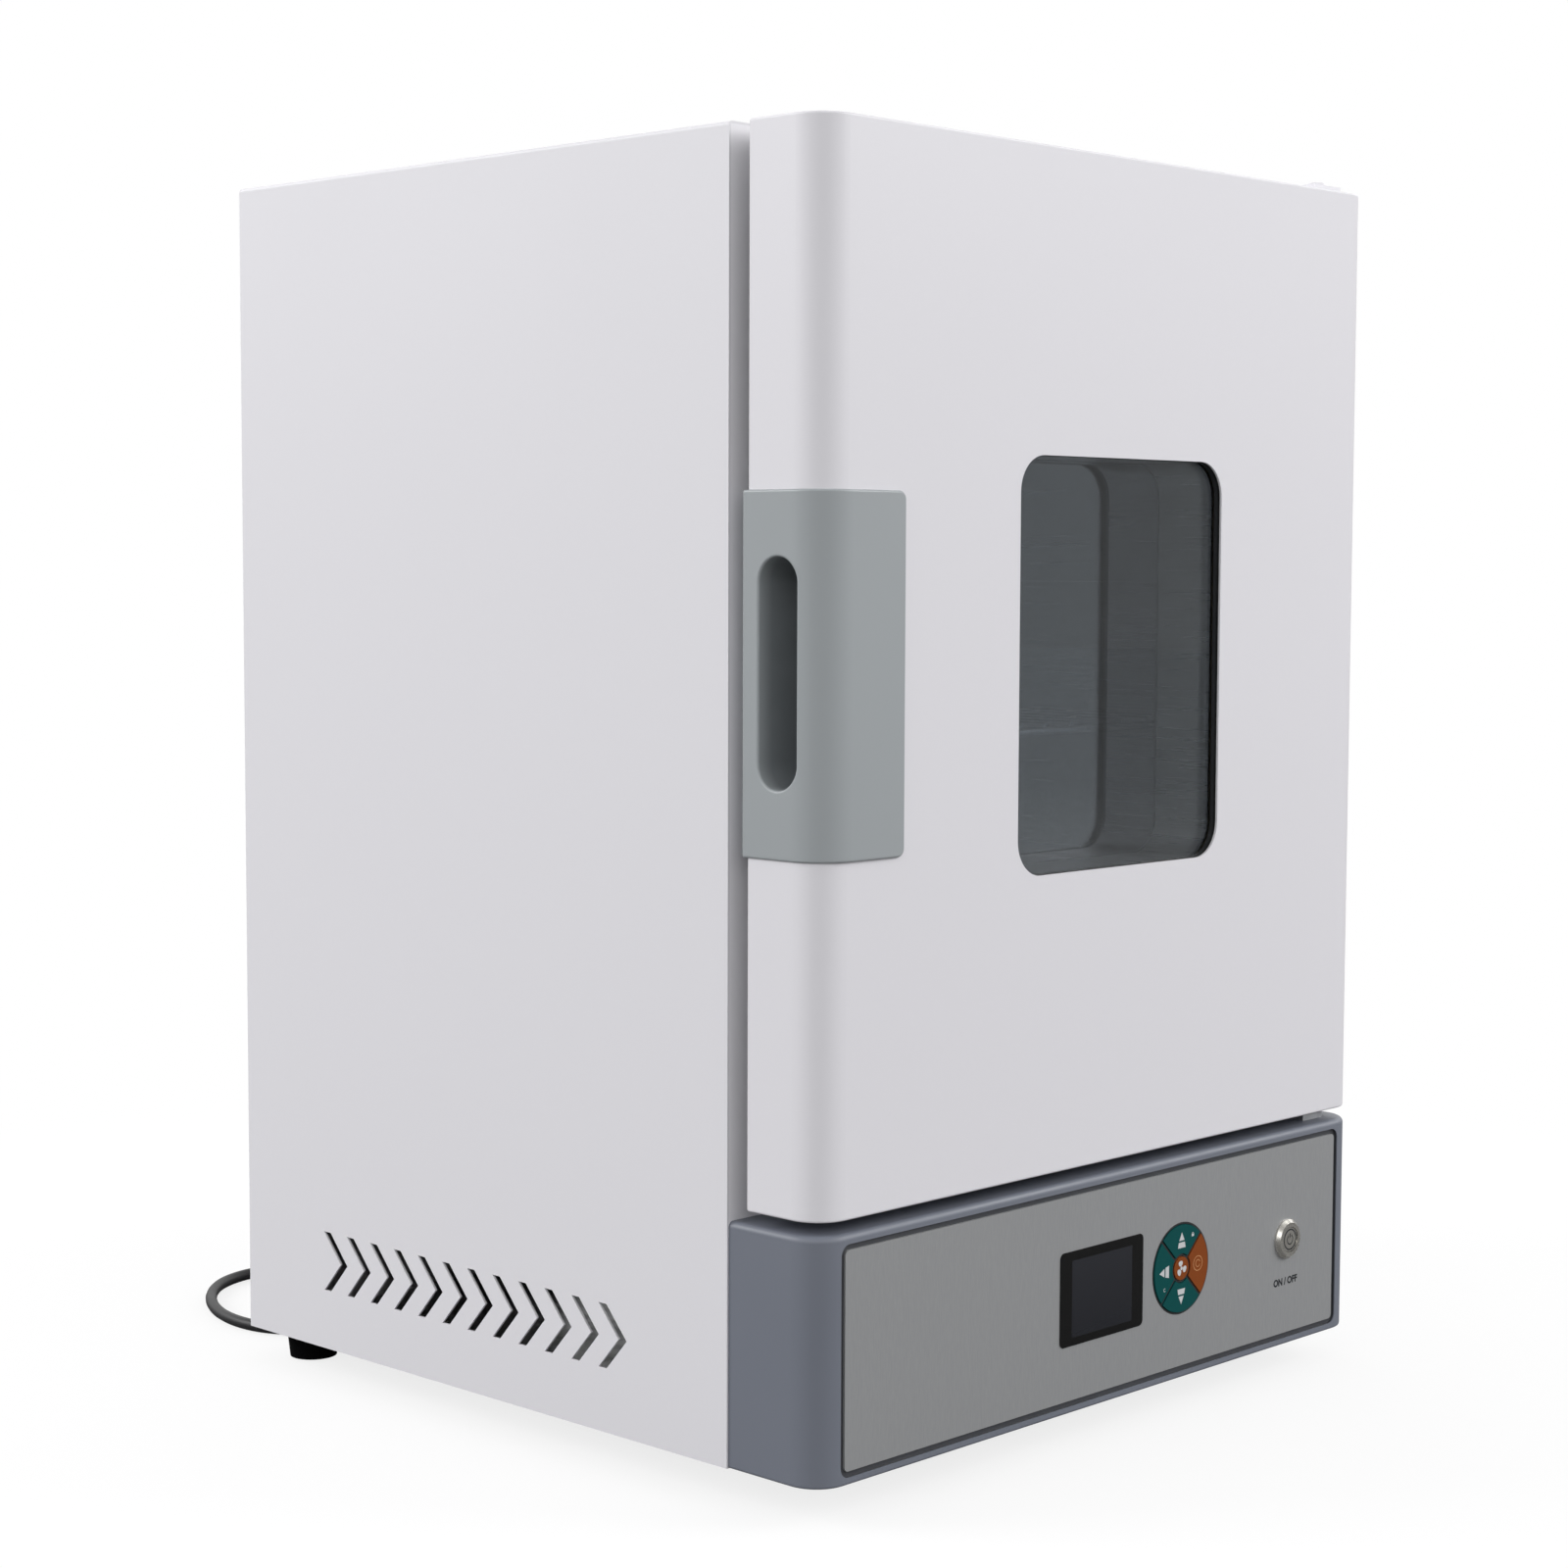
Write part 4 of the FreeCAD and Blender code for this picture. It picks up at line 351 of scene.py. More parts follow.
def pane_finish(name, tint, passed, index=1.5):
    """Clear glass for the eye, and clear air for rays from the lamps, so that light reaches inside."""
    material, skin = new_finish(name, tint, 0.015, IOR=index, Transmission_Weight=1.0)
    tree = material.node_tree
    clear = tree.nodes.new("ShaderNodeBsdfTransparent")
    clear.inputs["Color"].default_value = (passed, passed, passed, 1)
    path = tree.nodes.new("ShaderNodeLightPath")
    mix_shaders(tree, skin, clear, path.outputs["Is Shadow Ray"])
    return material


# The inner pane is tinted deeper and mirrors more, as a coated pane does.
give(pane_finish("outer_pane", (0.68, 0.72, 0.755), 0.88), "window_outer_glass")
give(pane_finish("inner_pane", (0.47, 0.495, 0.525), 0.88, 2.2), "window_inner_glass")

# Where the seal's painted shade, near black just behind the door's skin, gives way to dark grey, in metres.
SHADE_FADE_FROM, SHADE_FADE_TO = 0.0008, 0.0016


def own_axes(tree):
    """The piece's own X, Y and Z, in metres, by their names."""
    split = tree.nodes.new("ShaderNodeSeparateXYZ")
    tree.links.new(own_place(tree), split.inputs["Vector"])
    return split.outputs


def seal_finish():
    """Black rubber, near black as painted shade in its front millimetre and dark grey deeper, by its Y."""
    material, skin = new_finish("seal_rubber", (0.01, 0.01, 0.011), 0.5, Specular_IOR_Level=0.2)
    tree = material.node_tree
    front = float(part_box("window_seal")[0].y)
    deep = spread(tree, own_axes(tree)["Y"], 0.0, 1.0, front + SHADE_FADE_FROM, front + SHADE_FADE_TO)
    deeper_grey = blend_colours(tree, (0.02, 0.021, 0.023), (0.032, 0.033, 0.036), noise(tree, 300.0, 3.0))
    tree.links.new(blend_colours(tree, (0.004, 0.004, 0.004), deeper_grey, deep), skin.inputs["Base Color"])
    return material


give(seal_finish(), "window_seal")

# Handle
# A grey plastic moulding with a fine grain, screwed on from behind, that wraps round the door's left
# corner. Deep in the finger slot in its side the colour is darker, as painted shade.

# The slot's middle and half width along each axis, and how deep its painted shade starts and is full.
FINGER_SLOT = {"Y": (-0.2058, 0.0121), "Z": (0.3953, 0.0537)}
SLOT_SHADE_DEPTHS = (0.001, 0.009)


def near(tree, value, middle, half):
    """One where a value is less than a half width away from a middle, and nought elsewhere."""
    away = maths(tree, "ABSOLUTE", maths(tree, "SUBTRACT", value, middle))
    return maths(tree, "LESS_THAN", away, half)


def paint_shade_where(material, mask, low, high, patch_scale):
    """Paints shade on a finish: its colour turns to a darker pair, mixed by slow noise, as far as the mask
    says.
    """
    tree = material.node_tree
    colour = tree.nodes["Principled BSDF"].inputs["Base Color"]
    plain = colour.links[0].from_socket
    dark = blend_colours(tree, low, high, noise(tree, patch_scale, 3.0))
    tree.links.new(blend_colours(tree, plain, dark, mask), colour)
    return material


def handle_finish():
    """The grey moulding, with painted shade deep in its finger slot, by the piece's own coordinates."""
    material = moulding("handle_grey", (0.3, 0.322, 0.335), 0.38, 2100.0, 0.000012, 1.05, 0.5)
    tree = material.node_tree
    place = own_axes(tree)
    side = float(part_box("door_handle")[0].x)
    inside = spread(tree, place["X"], 0.0, 1.0, side + SLOT_SHADE_DEPTHS[0], side + SLOT_SHADE_DEPTHS[1])
    for axis, (middle, half) in FINGER_SLOT.items():
        inside = maths(tree, "MULTIPLY", inside, near(tree, place[axis], middle, half))
    return paint_shade_where(material, inside, (0.17, 0.185, 0.195), (0.21, 0.226, 0.237), 60.0)


give(handle_finish(), "door_handle")

# Hinges
# A strap with a fixed pin over the door and one under it, at the door's right edge. The upper one is painted
# with the casing and screwed on, the lower one zinc plated like the keeper. The pins turn in brass bushes
# that are pressed into the door.

bush_brass = stainless("bush_brass", (900.0, 900.0, 60.0), (0.72, 0.52, 0.22), (0.6, 0.42, 0.17), 0.26)
give(bush_brass, "hinge_bushes")

# Control housing
# A blue-grey plastic moulding with a fine grain, fixed to the front under the door. A brushed metal-look film
# is stuck in its shallow recess, with a narrow groove left all round, whose floor is painted dark as shade.

# How far the painted shade reaches past the label's edge, and how far behind the front the groove's floor
# lies.
GROOVE_WIDTH, GROOVE_SINK = 0.0031, 0.0005


def housing_finish():
    """The blue-grey moulding, with painted shade in the groove round the label, by its own coordinates."""
    material = moulding("bezel_grey", (0.148, 0.161, 0.195), 0.38, 2200.0, 0.000012, 1.06, 0.5)
    tree = material.node_tree
    place = own_axes(tree)
    low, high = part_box("control_label")
    front = float(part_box("control_bezel")[0].y)
    inside = maths(tree, "GREATER_THAN", place["Y"], front + GROOVE_SINK)
    for axis, k in (("X", 0), ("Z", 2)):
        middle, half = (low[k] + high[k]) / 2, (high[k] - low[k]) / 2 + GROOVE_WIDTH
        inside = maths(tree, "MULTIPLY", inside, near(tree, place[axis], middle, half))
    return paint_shade_where(material, inside, (0.035, 0.037, 0.043), (0.055, 0.058, 0.066), 90.0)


give(housing_finish(), "control_bezel")
label_film, skin = new_finish("label_film", (0.29, 0.295, 0.302), 0.42, 0.25, Specular_IOR_Level=0.4)
textured(label_film, skin, brushed, 0.000002, Colour=(0.315, 0.32, 0.327), Shade=(0.285, 0.29, 0.297),
         Gloss=0.4, Lay=(1500.0, 1500.0, 150.0))
give(label_film, "control_label")

# Display
# A gloss plastic lens, stuck in the label's opening and printed black on its back round a dark grey display
# that is switched off.

# The display's middle and half width along each axis.
DISPLAY = {"X": (-0.009, 0.0247), "Z": (0.0764, 0.0197)}


def lens_finish():
    """Black with a lighter rectangle for the display, its edges from the piece's own X and Z."""
    material, skin = new_finish("lens_black", (0.01, 0.01, 0.011), 0.08, Specular_IOR_Level=0.3)
    tree = material.node_tree
    place = own_axes(tree)
    inside = maths(tree, "MULTIPLY", *(near(tree, place[axis], *DISPLAY[axis]) for axis in "XZ"))
    # The display's grey grows lighter towards its top: a painted reflection.
    painted_reflection = spread(tree, place["Z"], 0.0, 1.0, 0.056, 0.096)
    dark = blend_colours(tree, (0.013, 0.014, 0.018), (0.02, 0.021, 0.026), painted_reflection)
    edge = blend_colours(tree, (0.002, 0.002, 0.002), (0.004, 0.004, 0.004), noise(tree, 60.0, 3.0))
    tree.links.new(blend_colours(tree, edge, dark, inside), skin.inputs["Base Color"])
    tree.links.new(spread(tree, noise(tree, 90.0, 3.0), 0.05, 0.12, 0.3, 0.7), skin.inputs["Roughness"])
    return material


give(lens_finish(), "screen_window")

# Keypad
# Four quarter keys and a round middle key in a black base, silicone with a satin lacquer. The white marks
# are printed on them, so each lies a few hundredths of a millimetre in front of its key and moves with it.

KEYPAD = np.array([0.058, 0.0768])
PRINT_SKIN = 0.00004
PRINT_FACE = float(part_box("key_up")[0].y) - PRINT_SKIN


def key_finish(name, colour):
    """Lacquered silicone, with a fine grain and little shine."""
    return moulding(name, colour, 0.36, 1500.0, 0.00001, 1.15, 0.08)


give(key_finish("key_teal", (0.003, 0.06, 0.059)), "key_up", "key_down", "key_left")
give(key_finish("key_orange", (0.195, 0.049, 0.011)), "key_right", "key_middle")
print_white = moulding("print_white", (0.5, 0.51, 0.52), 0.5, 1200.0, 0.000005, 1.1)
print_peach = moulding("print_peach", (0.5, 0.24, 0.1), 0.5, 1200.0, 0.000005, 1.1)


def placed(name, data):
    """A new object for a mesh, curve, lamp or camera, put in the scene."""
    thing = bpy.data.objects.new(name, data)
    bpy.context.scene.collection.objects.link(thing)
    return thing


def add_piece(name, mesh, material, body, slot, *nodes):
    """A new piece in one finish, that moves with a body and takes the place of any CAD nodes named."""
    mesh.materials.clear()
    mesh.materials.append(material)
    piece = placed(name, mesh)
    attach(piece, body)
    if nodes:
        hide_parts(*nodes)
    return piece


def printed(name, body, face, shapes, material, slot, centre):
    """Flat marks on a face that looks towards -Y. Each shape is a row of points across and up, in
    millimetres from the centre, anticlockwise; together they are one mesh of filled outlines."""
    outlines = [np.asarray(shape, float) / 1000 + centre for shape in shapes]
    ends = np.cumsum([len(outline) for outline in outlines]).tolist()
    faces = [tuple(range(end - len(outline), end)) for outline, end in zip(outlines, ends)]
    mesh = bpy.data.meshes.new(name)
    mesh.from_pydata(np.insert(np.concatenate(outlines), 1, face, axis=1).tolist(), [], faces)
    add_piece(name, mesh, material, body, slot)


def turned(points, angle):
    """Points across and up, turned anticlockwise about the centre by an angle in degrees."""
    turn = np.radians(angle)
    return np.asarray(points) @ np.array([[np.cos(turn), np.sin(turn)], [-np.sin(turn), np.cos(turn)]])


def band(radius, width, start=0.0, stop=360.0, step=10.0, centre=(0.0, 0.0)):
    """A ring or arc as quads: two circles of points, joined pair by pair."""
    count = max(2, int(round((stop - start) / step)) + 1)
    turn = np.radians(np.linspace(start, stop, count))
    ring = np.stack([np.cos(turn), np.sin(turn)], 1)
    inner = ring * (radius - width / 2) + centre
    outer = ring * (radius + width / 2) + centre
    return [[inner[i], outer[i], outer[i + 1], inner[i + 1]] for i in range(count - 1)]


def arrow(angle):
    """A slim triangle with a tapered bar under it, turned from upright."""
    head = [(-2.3, 14.8), (2.3, 14.8), (0.0, 19.2)]
    foot = [(-3.3, 10.9), (3.3, 10.9), (2.6, 13.9), (-2.6, 13.9)]
    return [turned(head, angle), turned(foot, angle)]


def fan_blade(angle):
    """One petal of the fan mark: an offset disc's outline that shrinks towards the hub."""
    t = np.linspace(0, 2 * np.pi, 19)[:-1]
    petal = np.stack([2.55 + 1.55 * np.cos(t), 0.75 + 1.15 * np.sin(t)], 1)
    petal[:, 1] += 0.25 * petal[:, 0] * np.sin(t)
    return turned(petal, angle)


padlock = [[(8.6, 15.6), (10.6, 15.6), (10.6, 17.0), (8.6, 17.0)]] + band(0.7, 0.3, 0, 180, 30, (9.6, 17.0))
small_ring = band(0.8, 0.3, 40, 320, 20, (-14.5, -9.2))
round_mark = band(3.9, 0.4, centre=(14.4, 0.4)) + band(1.9, 0.35, 20, 340, 20, (14.4, 0.4))
hub = [[(np.cos(a), np.sin(a)) for a in np.linspace(0, 2 * np.pi, 13)[:-1]]]
for mark, key, outlines, ink in (
        ("mark_up", "key_up", arrow(0) + padlock, print_white),
        ("mark_down", "key_down", arrow(180), print_white),
        ("mark_left", "key_left", arrow(90) + small_ring, print_white),
        ("mark_right", "key_right", round_mark, print_peach),
        ("mark_fan", "key_middle", [fan_blade(a) for a in (90, 210, 330)] + hub, print_white)):
    printed(mark, key, PRINT_FACE, outlines, ink, "label_metal", KEYPAD)

# Power switch
# A turned stainless push switch, held by a nut behind the housing's front. Its flange and cap show the
# lathe's fine rings, and the cap has a dark ring and a standby mark. A plain ON / OFF is printed under it.

SWITCH = np.array([(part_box("power_button")[0].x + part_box("power_button")[1].x) / 2, KEYPAD[1]])
CAP_FACE = float(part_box("power_button")[0].y) - PRINT_SKIN
RINGS = 14000.0
WORDS_DROP, WORDS_HEIGHT = 0.0235, 0.0042


def turned_finish():
    """Turned steel: fine rings, from the sine of the distance to the switch's own axis."""
    material, skin = new_finish("turned_steel", (0.68, 0.66, 0.61), 0.25, 1.0)
    tree = material.node_tree
    place = own_axes(tree)
    away = [maths(tree, "ABSOLUTE", maths(tree, "SUBTRACT", place[axis], float(middle)))
            for axis, middle in zip("XZ", SWITCH)]
    reach = maths(tree, "SQRT", maths(tree, "ADD", *(maths(tree, "POWER", part, 2.0) for part in away)))
    rings = maths(tree, "SINE", maths(tree, "MULTIPLY", reach, RINGS))
    colour = blend_colours(tree, (0.62, 0.6, 0.55), (0.76, 0.74, 0.69), spread(tree, rings, 0, 1, -1))
    tree.links.new(colour, skin.inputs["Base Color"])
    tree.links.new(spread(tree, noise(tree, 200.0, 3.0), 0.2, 0.36, 0.3, 0.7), skin.inputs["Roughness"])
    raised(tree, skin, rings, 0.0000012)
    return material


give(turned_finish(), "power_switch_body", "power_button")
print_dark = moulding("print_dark", (0.012, 0.013, 0.016), 0.5, 1200.0, 0.000005, 1.4, 0.3)
bar = [[(-0.3, 0.9), (0.3, 0.9), (0.3, 3.4), (-0.3, 3.4)]]
standby = band(5.5, 0.8) + band(2.6, 0.6, 125, 415, 10) + bar
printed("mark_standby", "power_button", CAP_FACE, standby, print_dark, "black_plastic", SWITCH)


def words(name, text, centre, height, material):
    """Plain words on the label, set a little bold: a text curve, made a mesh, scaled to a height about the
    centre and stood upright."""
    curve = bpy.data.curves.new(name, "FONT")
    curve.body = text
    curve.offset = 0.045
    carrier = placed(name + "_curve", curve)
    bpy.context.view_layer.update()
    mesh = bpy.data.meshes.new_from_object(carrier)
    bpy.data.objects.remove(carrier)
    flat = np.zeros(len(mesh.vertices) * 3)
    mesh.vertices.foreach_get("co", flat)
    flat = flat.reshape(-1, 3)[:, :2]
    low, high = flat.min(0), flat.max(0)
    flat = (flat - (low + high) / 2) * height / (high[1] - low[1]) + centre
    face = float(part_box("control_label")[0].y) - PRINT_SKIN
    mesh.vertices.foreach_set("co", np.insert(flat, 1, face, axis=1).ravel())
    mesh.update()
    add_piece(name, mesh, material, "casing", "black_plastic")


words("print_on_off", "ON / OFF", SWITCH - [0.0, WORDS_DROP], WORDS_HEIGHT, print_dark)

# Works
# The board behind the controls, hidden in the housing: glass fibre with green lacquer over etched copper
# tracks, fixed behind the panel.


def board_finish():
    """Green lacquer over tracks: a brick pattern of narrow copper lines under the green."""
    material, skin = new_finish("board_green", (0.02, 0.12, 0.05), 0.3)
    tree = material.node_tree
    upright = tree.nodes.new("ShaderNodeMapping")
    upright.inputs["Rotation"].default_value = (math.radians(90), 0, 0)
    tree.links.new(own_place(tree), upright.inputs["Vector"])
    bricks = tree.nodes.new("ShaderNodeTexBrick")
    for socket, value in (("Vector", upright.outputs["Vector"]), ("Scale", 220.0), ("Mortar Size", 0.04),
                          ("Color1", (0.012, 0.09, 0.035)), ("Color2", (0.018, 0.11, 0.045)),
                          ("Mortar", (0.1, 0.22, 0.06))):
        feed(tree, value, bricks.inputs[socket])
    tree.links.new(bricks.outputs["Color"], skin.inputs["Base Color"])
    tree.links.new(spread(tree, noise(tree, 150.0), 0.25, 0.4, 0.3, 0.7), skin.inputs["Roughness"])
    return material


give(board_finish(), "control_board")

# Mains cord
# Black round PVC cord, 6.8 mm, about 1.8 m. It leaves the gland low in the back, swings out past the left
# side and back behind the casing. The rest is wound in a neat coil there, in a tie, with the plug beside it.

CORD_ROUTE = [
    (-56, 225.45, 48), (-57, 255, 46.5), (-58, 283, 32), (-62, 311, 12), (-77, 338, 3.4),
    (-105, 356, 3.4), (-138, 348.5, 3.4), (-164, 324.5, 3.4), (-182, 292.5, 3.4), (-188.5, 262, 3.4),
    (-184, 235.5, 3.4), (-167, 217.5, 3.4), (-137, 211.5, 3.4), (-101, 211.5, 3.4), (-56, 213.5, 3.4),
    (-11, 217, 3.4), (24, 220.5, 3.4), (57, 224, 3.4), (68.5, 225.6, 3.4),
]
CORD_RADIUS = 0.0034
COIL = np.array([79.0, 270.45])
PLUG_PLACE = np.array([123.3, 289.45, 10.0])
TURN_RADII = np.array([44.3, 37.5, 30.7, 30.7, 37.5, 44.3, 44.3])
TURN_LEVELS = np.array([3.4, 3.4, 3.4, 10.0, 10.0, 10.0, 10.0])
TURNS = 5.25
POINTS_PER_TURN = 20


def coil_points():
    """Control points of the coil: round a centre, with each turn's radius and level held until its last
    fifth, where it steps smoothly to the next turn's."""
    t = np.arange(1, int(TURNS * POINTS_PER_TURN) + 1) / POINTS_PER_TURN
    turn = np.floor(t).astype(int)
    part = np.clip((t - turn - 0.8) / 0.2, 0, 1)
    step = part * part * (3 - 2 * part)
    radius = TURN_RADII[turn] + (TURN_RADII[turn + 1] - TURN_RADII[turn]) * step
    level = TURN_LEVELS[turn] + (TURN_LEVELS[turn + 1] - TURN_LEVELS[turn]) * step
    radius = radius / math.cos(math.pi / POINTS_PER_TURN)
    angle = 2 * math.pi * t - math.pi / 2
    return np.stack([COIL[0] + radius * np.cos(angle), COIL[1] + radius * np.sin(angle), level], 1)


coil = coil_points()
x, _, z = PLUG_PLACE
into_plug = [(coil[-1][0] + 0.2, 281.0, z), (x, 292.0, z), (x, 303.0, z)]
spots = np.concatenate([CORD_ROUTE, coil, into_plug]) / 1000
line = bpy.data.curves.new("mains_cord", "CURVE")
line.dimensions = "3D"
spline = line.splines.new("NURBS")
spline.points.add(len(spots) - 1)
spline.points.foreach_set("co", np.c_[spots, np.ones(len(spots))].ravel())
spline.order_u = 3
spline.use_endpoint_u = True
line.resolution_u = 8
line.bevel_depth = CORD_RADIUS
line.bevel_resolution = 5
line.materials.append(moulding("cord_black", (0.012, 0.012, 0.013), 0.44, 1300.0, 0.00001, 1.5))
mains_cord = placed("mains_cord", line)
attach(mains_cord, "casing")
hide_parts("power_cord", "cord_coil")


def closed_grid(name, points):
    """A mesh from a grid of points, rows by columns: closed across the columns, with its end rows capped,
    smooth but for the edges where faces meet at more than 35 degrees."""
    rows, columns = points.shape[:2]
    index = np.arange(rows * columns).reshape(rows, columns)
    after = np.roll(index, -1, axis=1)
    quads = np.stack([index[:-1], after[:-1], after[1:], index[1:]], -1).reshape(-1, 4)
    mesh = bpy.data.meshes.new(name)
    mesh.from_pydata(points.reshape(-1, 3).tolist(), [],
                     quads.tolist() + [index[0][::-1].tolist(), index[-1].tolist()])
    mesh.polygons.foreach_set("use_smooth", np.ones(len(mesh.polygons), bool))
    mesh.update()
    mesh.set_sharp_from_angle(angle=math.radians(35.0))
    return mesh


# The gland's axis and the face it sits on, in metres, and the ribs' two ends, in millimetres behind it.
GLAND_AXIS, GLAND_SEAT = (-0.056, 0.048), 0.20345
RELIEF_START, RELIEF_END = 4.3, 31.4


def relief_profile():
    """Distance behind the back plate and radius, in millimetres: a rounded flange, then a taper whose
    radius swings in and out in soft ribs."""
    flange = [(-9.0, 7.0), (-9.0, 9.5), (-8.5, 10.0), (-4.0, 10.0), (-3.5, 7.0), (0.0, 7.0), (0.0, 9.6),
              (0.4, 10.0), (3.4, 10.0), (4.0, 9.4), (4.0, 7.8)]
    along = np.linspace(0, 1, 64)
    reach = RELIEF_START + (RELIEF_END - RELIEF_START) * along
    ribs = 0.55 * np.clip(np.sin(along * 2 * np.pi * 6.5), -0.9, 0.9)
    return np.concatenate([flange, np.stack([reach, 7.6 - 2.6 * along + ribs], 1),
                           [(RELIEF_END + 0.4, 4.6), (RELIEF_END + 0.4, 3.5)]])


def strain_relief():
    """The relief's profile of distance and radius, turned about the gland's axis, which runs along +Y."""
    reach, radius = (relief_profile() / 1000).T[:, :, None]
    angle = np.linspace(0, 2 * np.pi, 48, endpoint=False)
    across = GLAND_AXIS[0] + radius * np.sin(angle)
    up = GLAND_AXIS[1] + radius * np.cos(angle)
    along = np.broadcast_to(GLAND_SEAT + reach, across.shape)
    return closed_grid("strain_relief", np.stack([across, along, up], -1))


gland_black = moulding("gland_black", (0.014, 0.014, 0.015), 0.5, 1400.0, 0.00002, 1.5)
add_piece("strain_relief", strain_relief(), gland_black, "casing", "black_plastic", "cord_gland")

TIE_MIDDLE = (37.5, 6.9)
TIE_HALF_WIDTH, TIE_HALF_HEIGHT, TIE_LAP = 10.9, 6.5, 0.85


def tie_path():
    """The tie's middle line round the coil's section, out from the coil's axis and up, in millimetres: a
    rounded box |x/a|^4 + |z/b|^4 = 1 that goes past a full turn, where it rises to lie on itself."""
    angle = np.radians(np.linspace(50, 465, 84))
    lap = np.clip((np.degrees(angle) - 365) / 40, 0, 1)
    lift = TIE_LAP * lap * lap * (3 - 2 * lap)
    across = (TIE_HALF_WIDTH + lift) * np.sign(np.cos(angle)) * np.sqrt(np.abs(np.cos(angle)))
    up = (TIE_HALF_HEIGHT + lift) * np.sign(np.sin(angle)) * np.sqrt(np.abs(np.sin(angle)))
    return np.stack([TIE_MIDDLE[0] - across, TIE_MIDDLE[1] + up], 1)


def tie_strap():
    """A rounded strip section, 7 mm wide and 0.8 mm thick, carried along the tie's middle line."""
    path = tie_path()
    along = np.gradient(path, axis=0)
    along /= np.linalg.norm(along, axis=1)[:, None]
    outward = np.stack([along[:, 1], -along[:, 0]], 1)
    section = np.array([(-0.4, -3.3), (-0.4, 3.3), (-0.2, 3.5), (0.2, 3.5), (0.4, 3.3), (0.4, -3.3),
                        (0.2, -3.5), (-0.2, -3.5)])
    flat = path[:, None, :] + outward[:, None, :] * section[None, :, :1]
    width = np.broadcast_to(section[:, 1], flat.shape[:2])
    points = np.stack([COIL[0] - flat[..., 0], COIL[1] + width, flat[..., 1]], -1) / 1000
    return closed_grid("cord_tie", points)


def plug_sections():
    """The plug's body along +Y, in millimetres: distance, half width, half height and squareness of each
    section, from the cord's sleeve through a finger waist to the face that carries the pins."""
    return np.array([
        (0.0, 4.2, 4.2, 2.0), (0.6, 4.9, 4.9, 2.0), (4.0, 5.2, 5.2, 2.0), (5.0, 4.6, 4.6, 2.0),
        (8.0, 5.6, 5.6, 2.0), (9.0, 4.9, 4.9, 2.0), (12.5, 6.0, 6.0, 2.0), (13.5, 5.4, 5.4, 2.0),
        (18.0, 6.6, 6.4, 2.1), (20.0, 8.6, 7.0, 2.4), (23.0, 10.6, 8.0, 2.8), (28.0, 12.0, 8.8, 3.2),
        (34.0, 11.6, 9.0, 3.4), (41.0, 11.2, 9.2, 3.6), (47.0, 12.0, 9.6, 3.8), (53.0, 13.4, 10.0, 4.0),
        (58.0, 14.0, 10.0, 4.2), (61.5, 14.0, 10.0, 4.2), (62.6, 13.6, 9.6, 4.2), (63.0, 12.8, 8.8, 4.2)])


def plug_body():
    """Superellipse sections: |x/a|^n + |z/b|^n = 1, carried along the plug and closed at both ends."""
    sections = plug_sections()
    fine = np.linspace(0, len(sections) - 1, 90)
    values = np.stack([np.interp(fine, np.arange(len(sections)), sections[:, k]) for k in range(4)], 1)
    angle = np.linspace(0, 2 * np.pi, 56, endpoint=False)
    power = 2 / values[:, 3:4]
    across = values[:, 1:2] * np.sign(np.sin(angle)) * np.abs(np.sin(angle)) ** power
    up = values[:, 2:3] * np.sign(np.cos(angle)) * np.abs(np.cos(angle)) ** power
    along = np.broadcast_to(values[:, :1], across.shape)
    points = (np.stack([across, along, up], -1) + PLUG_PLACE) / 1000
    return closed_grid("mains_plug", points)


def blade_pins():
    """Three flat pins in one mesh: each a rounded rectangle section carried along +Y to a bevelled tip."""
    corners = np.array([(-1, -0.8), (-0.8, -1), (0.8, -1), (1, -0.8),
                        (1, 0.8), (0.8, 1), (-0.8, 1), (-1, 0.8)]) * [1.0, 3.0]
    middles = np.array([(-8.4, 3.0), (0.0, -3.0), (8.4, 3.0)])
    reach, size = np.array([(63.0, 1.0), (79.6, 1.0), (81.0, 0.7)]).T[:, :, None]
    across, up = np.moveaxis(middles[:, None, None] + corners * size[..., None], -1, 0)
    along = np.broadcast_to(reach, across.shape)
    points = (np.stack([across, along, up], -1) + PLUG_PLACE) / 1000
    index = np.arange(across.size).reshape(across.shape)
    after = np.roll(index, -1, axis=2)
    sides = np.stack([index[:, :-1], after[:, :-1], after[:, 1:], index[:, 1:]], -1).reshape(-1, 4)
    mesh = bpy.data.meshes.new("plug_pins")
    mesh.from_pydata(points.reshape(-1, 3).tolist(), [],
                     sides.tolist() + index[:, -1].tolist() + index[:, 0, ::-1].tolist())
    return mesh


mains_plug = add_piece("mains_plug", plug_body(), gland_black, "casing", "black_plastic", "power_plug")
plug_pins = add_piece("plug_pins", blade_pins(), bush_brass, "casing", "brass")
cord_tie = add_piece("cord_tie", tie_strap(), gland_black, "casing", "black_plastic")

# Studio
# A plain white floor that keeps the shadow near the oven and turns to the background's white further out,
# two broad lamps that light the side and the front from beside them, and a weak one overhead.

# How bright the white floor and sky look through the window's panes.
THROUGH_GLASS = 0.56
FLOOR_RADIUS, FLOOR_LEVEL, FLOOR_CORNERS = 14.0, -0.0004, 96


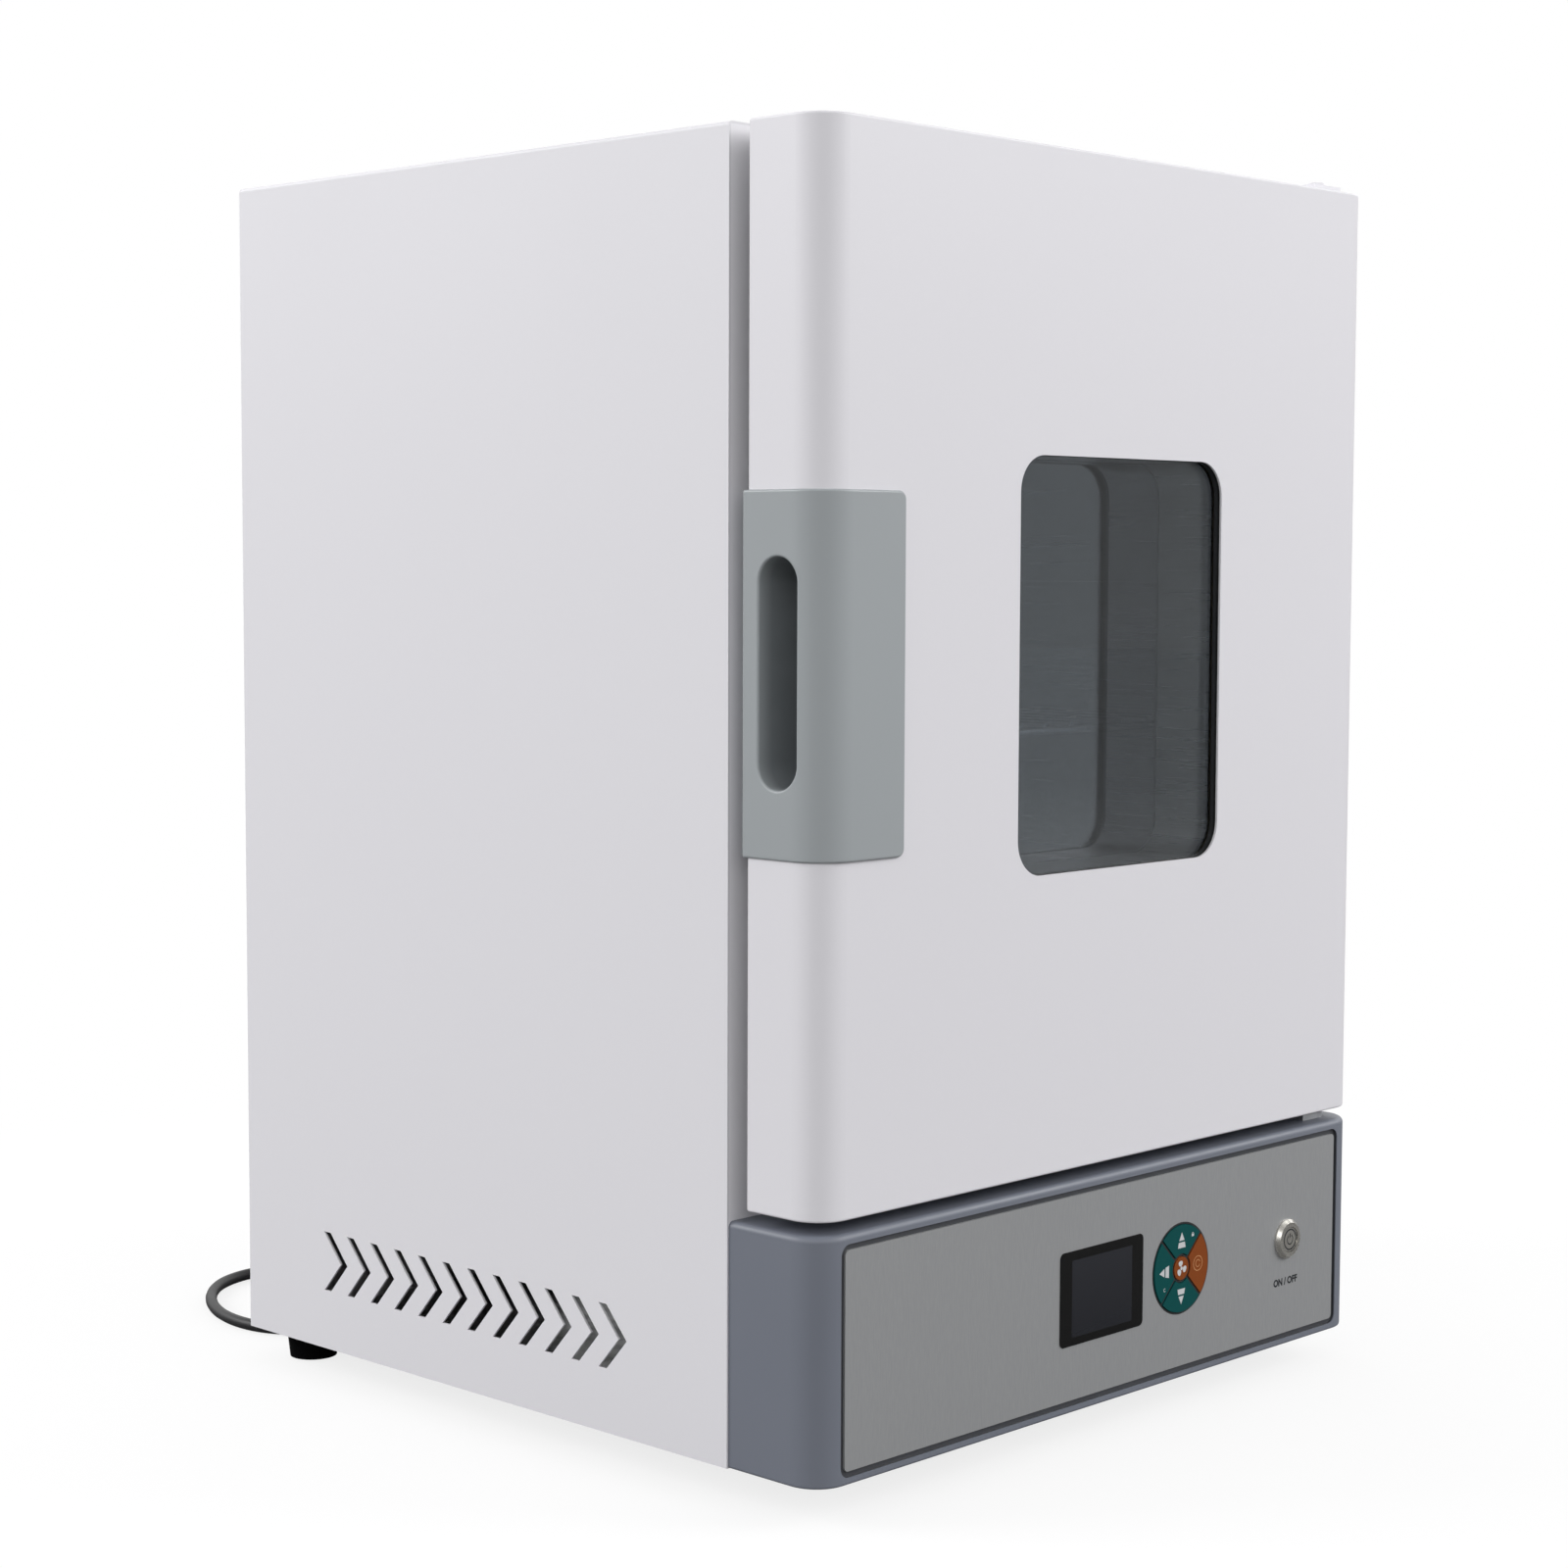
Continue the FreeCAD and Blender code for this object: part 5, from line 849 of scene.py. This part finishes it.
def floor_finish():
    """White floor: lit near the middle, and as white as the background from about a metre out."""
    material, skin = new_finish("floor_white", (0.2, 0.2, 0.2), 0.8, Specular_IOR_Level=0.0)
    tree = material.node_tree
    length = tree.nodes.new("ShaderNodeVectorMath")
    length.operation = "LENGTH"
    tree.links.new(own_place(tree), length.inputs[0])
    far = spread(tree, length.outputs["Value"], 0.8, 1.0, 0.4, 0.9)
    path = tree.nodes.new("ShaderNodeLightPath").outputs
    shade = blend_colours(tree, (0.2, 0.2, 0.2), (0.9, 0.9, 0.9), path["Is Camera Ray"])
    tree.links.new(shade, skin.inputs["Base Color"])
    through = maths(tree, "MULTIPLY", path["Is Transmission Ray"], THROUGH_GLASS)
    seen = maths(tree, "MAXIMUM", path["Is Camera Ray"], through)
    mix_shaders(tree, skin, tree.nodes.new("ShaderNodeEmission"), maths(tree, "MULTIPLY", far, seen))
    return material


turn = np.linspace(0, 2 * np.pi, FLOOR_CORNERS, endpoint=False)
rim = np.stack([FLOOR_RADIUS * np.cos(turn), FLOOR_RADIUS * np.sin(turn),
                np.full(FLOOR_CORNERS, FLOOR_LEVEL)], 1)
disc = bpy.data.meshes.new("studio_floor")
disc.from_pydata(rim.tolist(), [], [tuple(range(FLOOR_CORNERS))])
disc.materials.append(floor_finish())
placed("studio_floor", disc)


def studio_sky():
    """White to the eye. As a light it is a tent, pale from a little above the horizon to half way up and dim
    elsewhere, and a little brighter on the side that the view comes from."""
    world = bpy.data.worlds.new("studio")
    world.use_nodes = True
    tree = world.node_tree
    sky = tree.nodes["Background"]
    sky.inputs["Color"].default_value = (1, 1, 1, 1)
    place = tree.nodes.new("ShaderNodeTexCoord").outputs["Generated"]
    toward = tree.nodes.new("ShaderNodeVectorMath")
    toward.operation = "DOT_PRODUCT"
    tree.links.new(place, toward.inputs[0])
    toward.inputs[1].default_value = (-0.72, -0.69, 0.0)
    split = tree.nodes.new("ShaderNodeSeparateXYZ")
    tree.links.new(place, split.inputs["Vector"])
    height = split.outputs["Z"]
    side = spread(tree, toward.outputs["Value"], 1.0, 1.22, 0.3, 0.9)
    zenith = spread(tree, height, 1.0, 0.2, 0.42, 0.64)
    tent = maths(tree, "MULTIPLY", zenith, spread(tree, height, 0.28, 2.1, 0.07, 0.32))
    dome = maths(tree, "MULTIPLY", side, tent)
    path = tree.nodes.new("ShaderNodeLightPath").outputs
    through = spread(tree, path["Is Transmission Ray"], dome, THROUGH_GLASS)
    tree.links.new(spread(tree, path["Is Camera Ray"], through, 1.0), sky.inputs["Strength"])
    return world


bpy.context.scene.world = studio_sky()


def softbox(name, place, aim, width, height, power):
    """A soft rectangular lamp that looks from one point to another and isn't seen through the glass."""
    lamp = bpy.data.lights.new(name, "AREA")
    lamp.shape = "RECTANGLE"
    lamp.size = width
    lamp.size_y = height
    lamp.energy = power
    thing = placed(name, lamp)
    thing.location = place
    thing.visible_transmission = False
    thing.rotation_euler = (Vector(aim) - Vector(place)).to_track_quat("-Z", "Y").to_euler()


softbox("lamp_side", (-2.5, 2.3, 2.2), (-0.2, 0.0, 0.4), 1.8, 1.8, 69.0)
softbox("lamp_front", (2.3, -2.6, 2.2), (0.0, -0.2, 0.4), 1.8, 1.8, 64.0)
softbox("lamp_top", (0.2, -0.2, 2.8), (0.0, 0.0, 0.4), 2.2, 2.2, 2.0)

# Camera
# A 46 degree view on the front left corner with a long lens, from a little above the middle. It looks about
# four degrees down and leans by a fifth of a degree.

PLACE = (-1.20108, -1.15628, 0.44766)
YAW, PITCH, ROLL = math.radians(46.03), math.radians(4.30), math.radians(0.19)
forward = Vector((math.sin(YAW) * math.cos(PITCH), math.cos(YAW) * math.cos(PITCH), -math.sin(PITCH)))
level = Vector((math.cos(YAW), -math.sin(YAW), 0))
upright = level.cross(forward)
right = math.cos(ROLL) * level + math.sin(ROLL) * upright
up = -math.sin(ROLL) * level + math.cos(ROLL) * upright
lens = bpy.data.cameras.new("camera")
lens.lens = 68.62
lens.sensor_width = 36
camera = placed("camera", lens)
camera.matrix_world = Matrix((
    (right.x, up.x, -forward.x, PLACE[0]), (right.y, up.y, -forward.y, PLACE[1]),
    (right.z, up.z, -forward.z, PLACE[2]), (0, 0, 0, 1)))
bpy.context.scene.camera = camera
bpy.context.scene.view_settings.view_transform = "Standard"
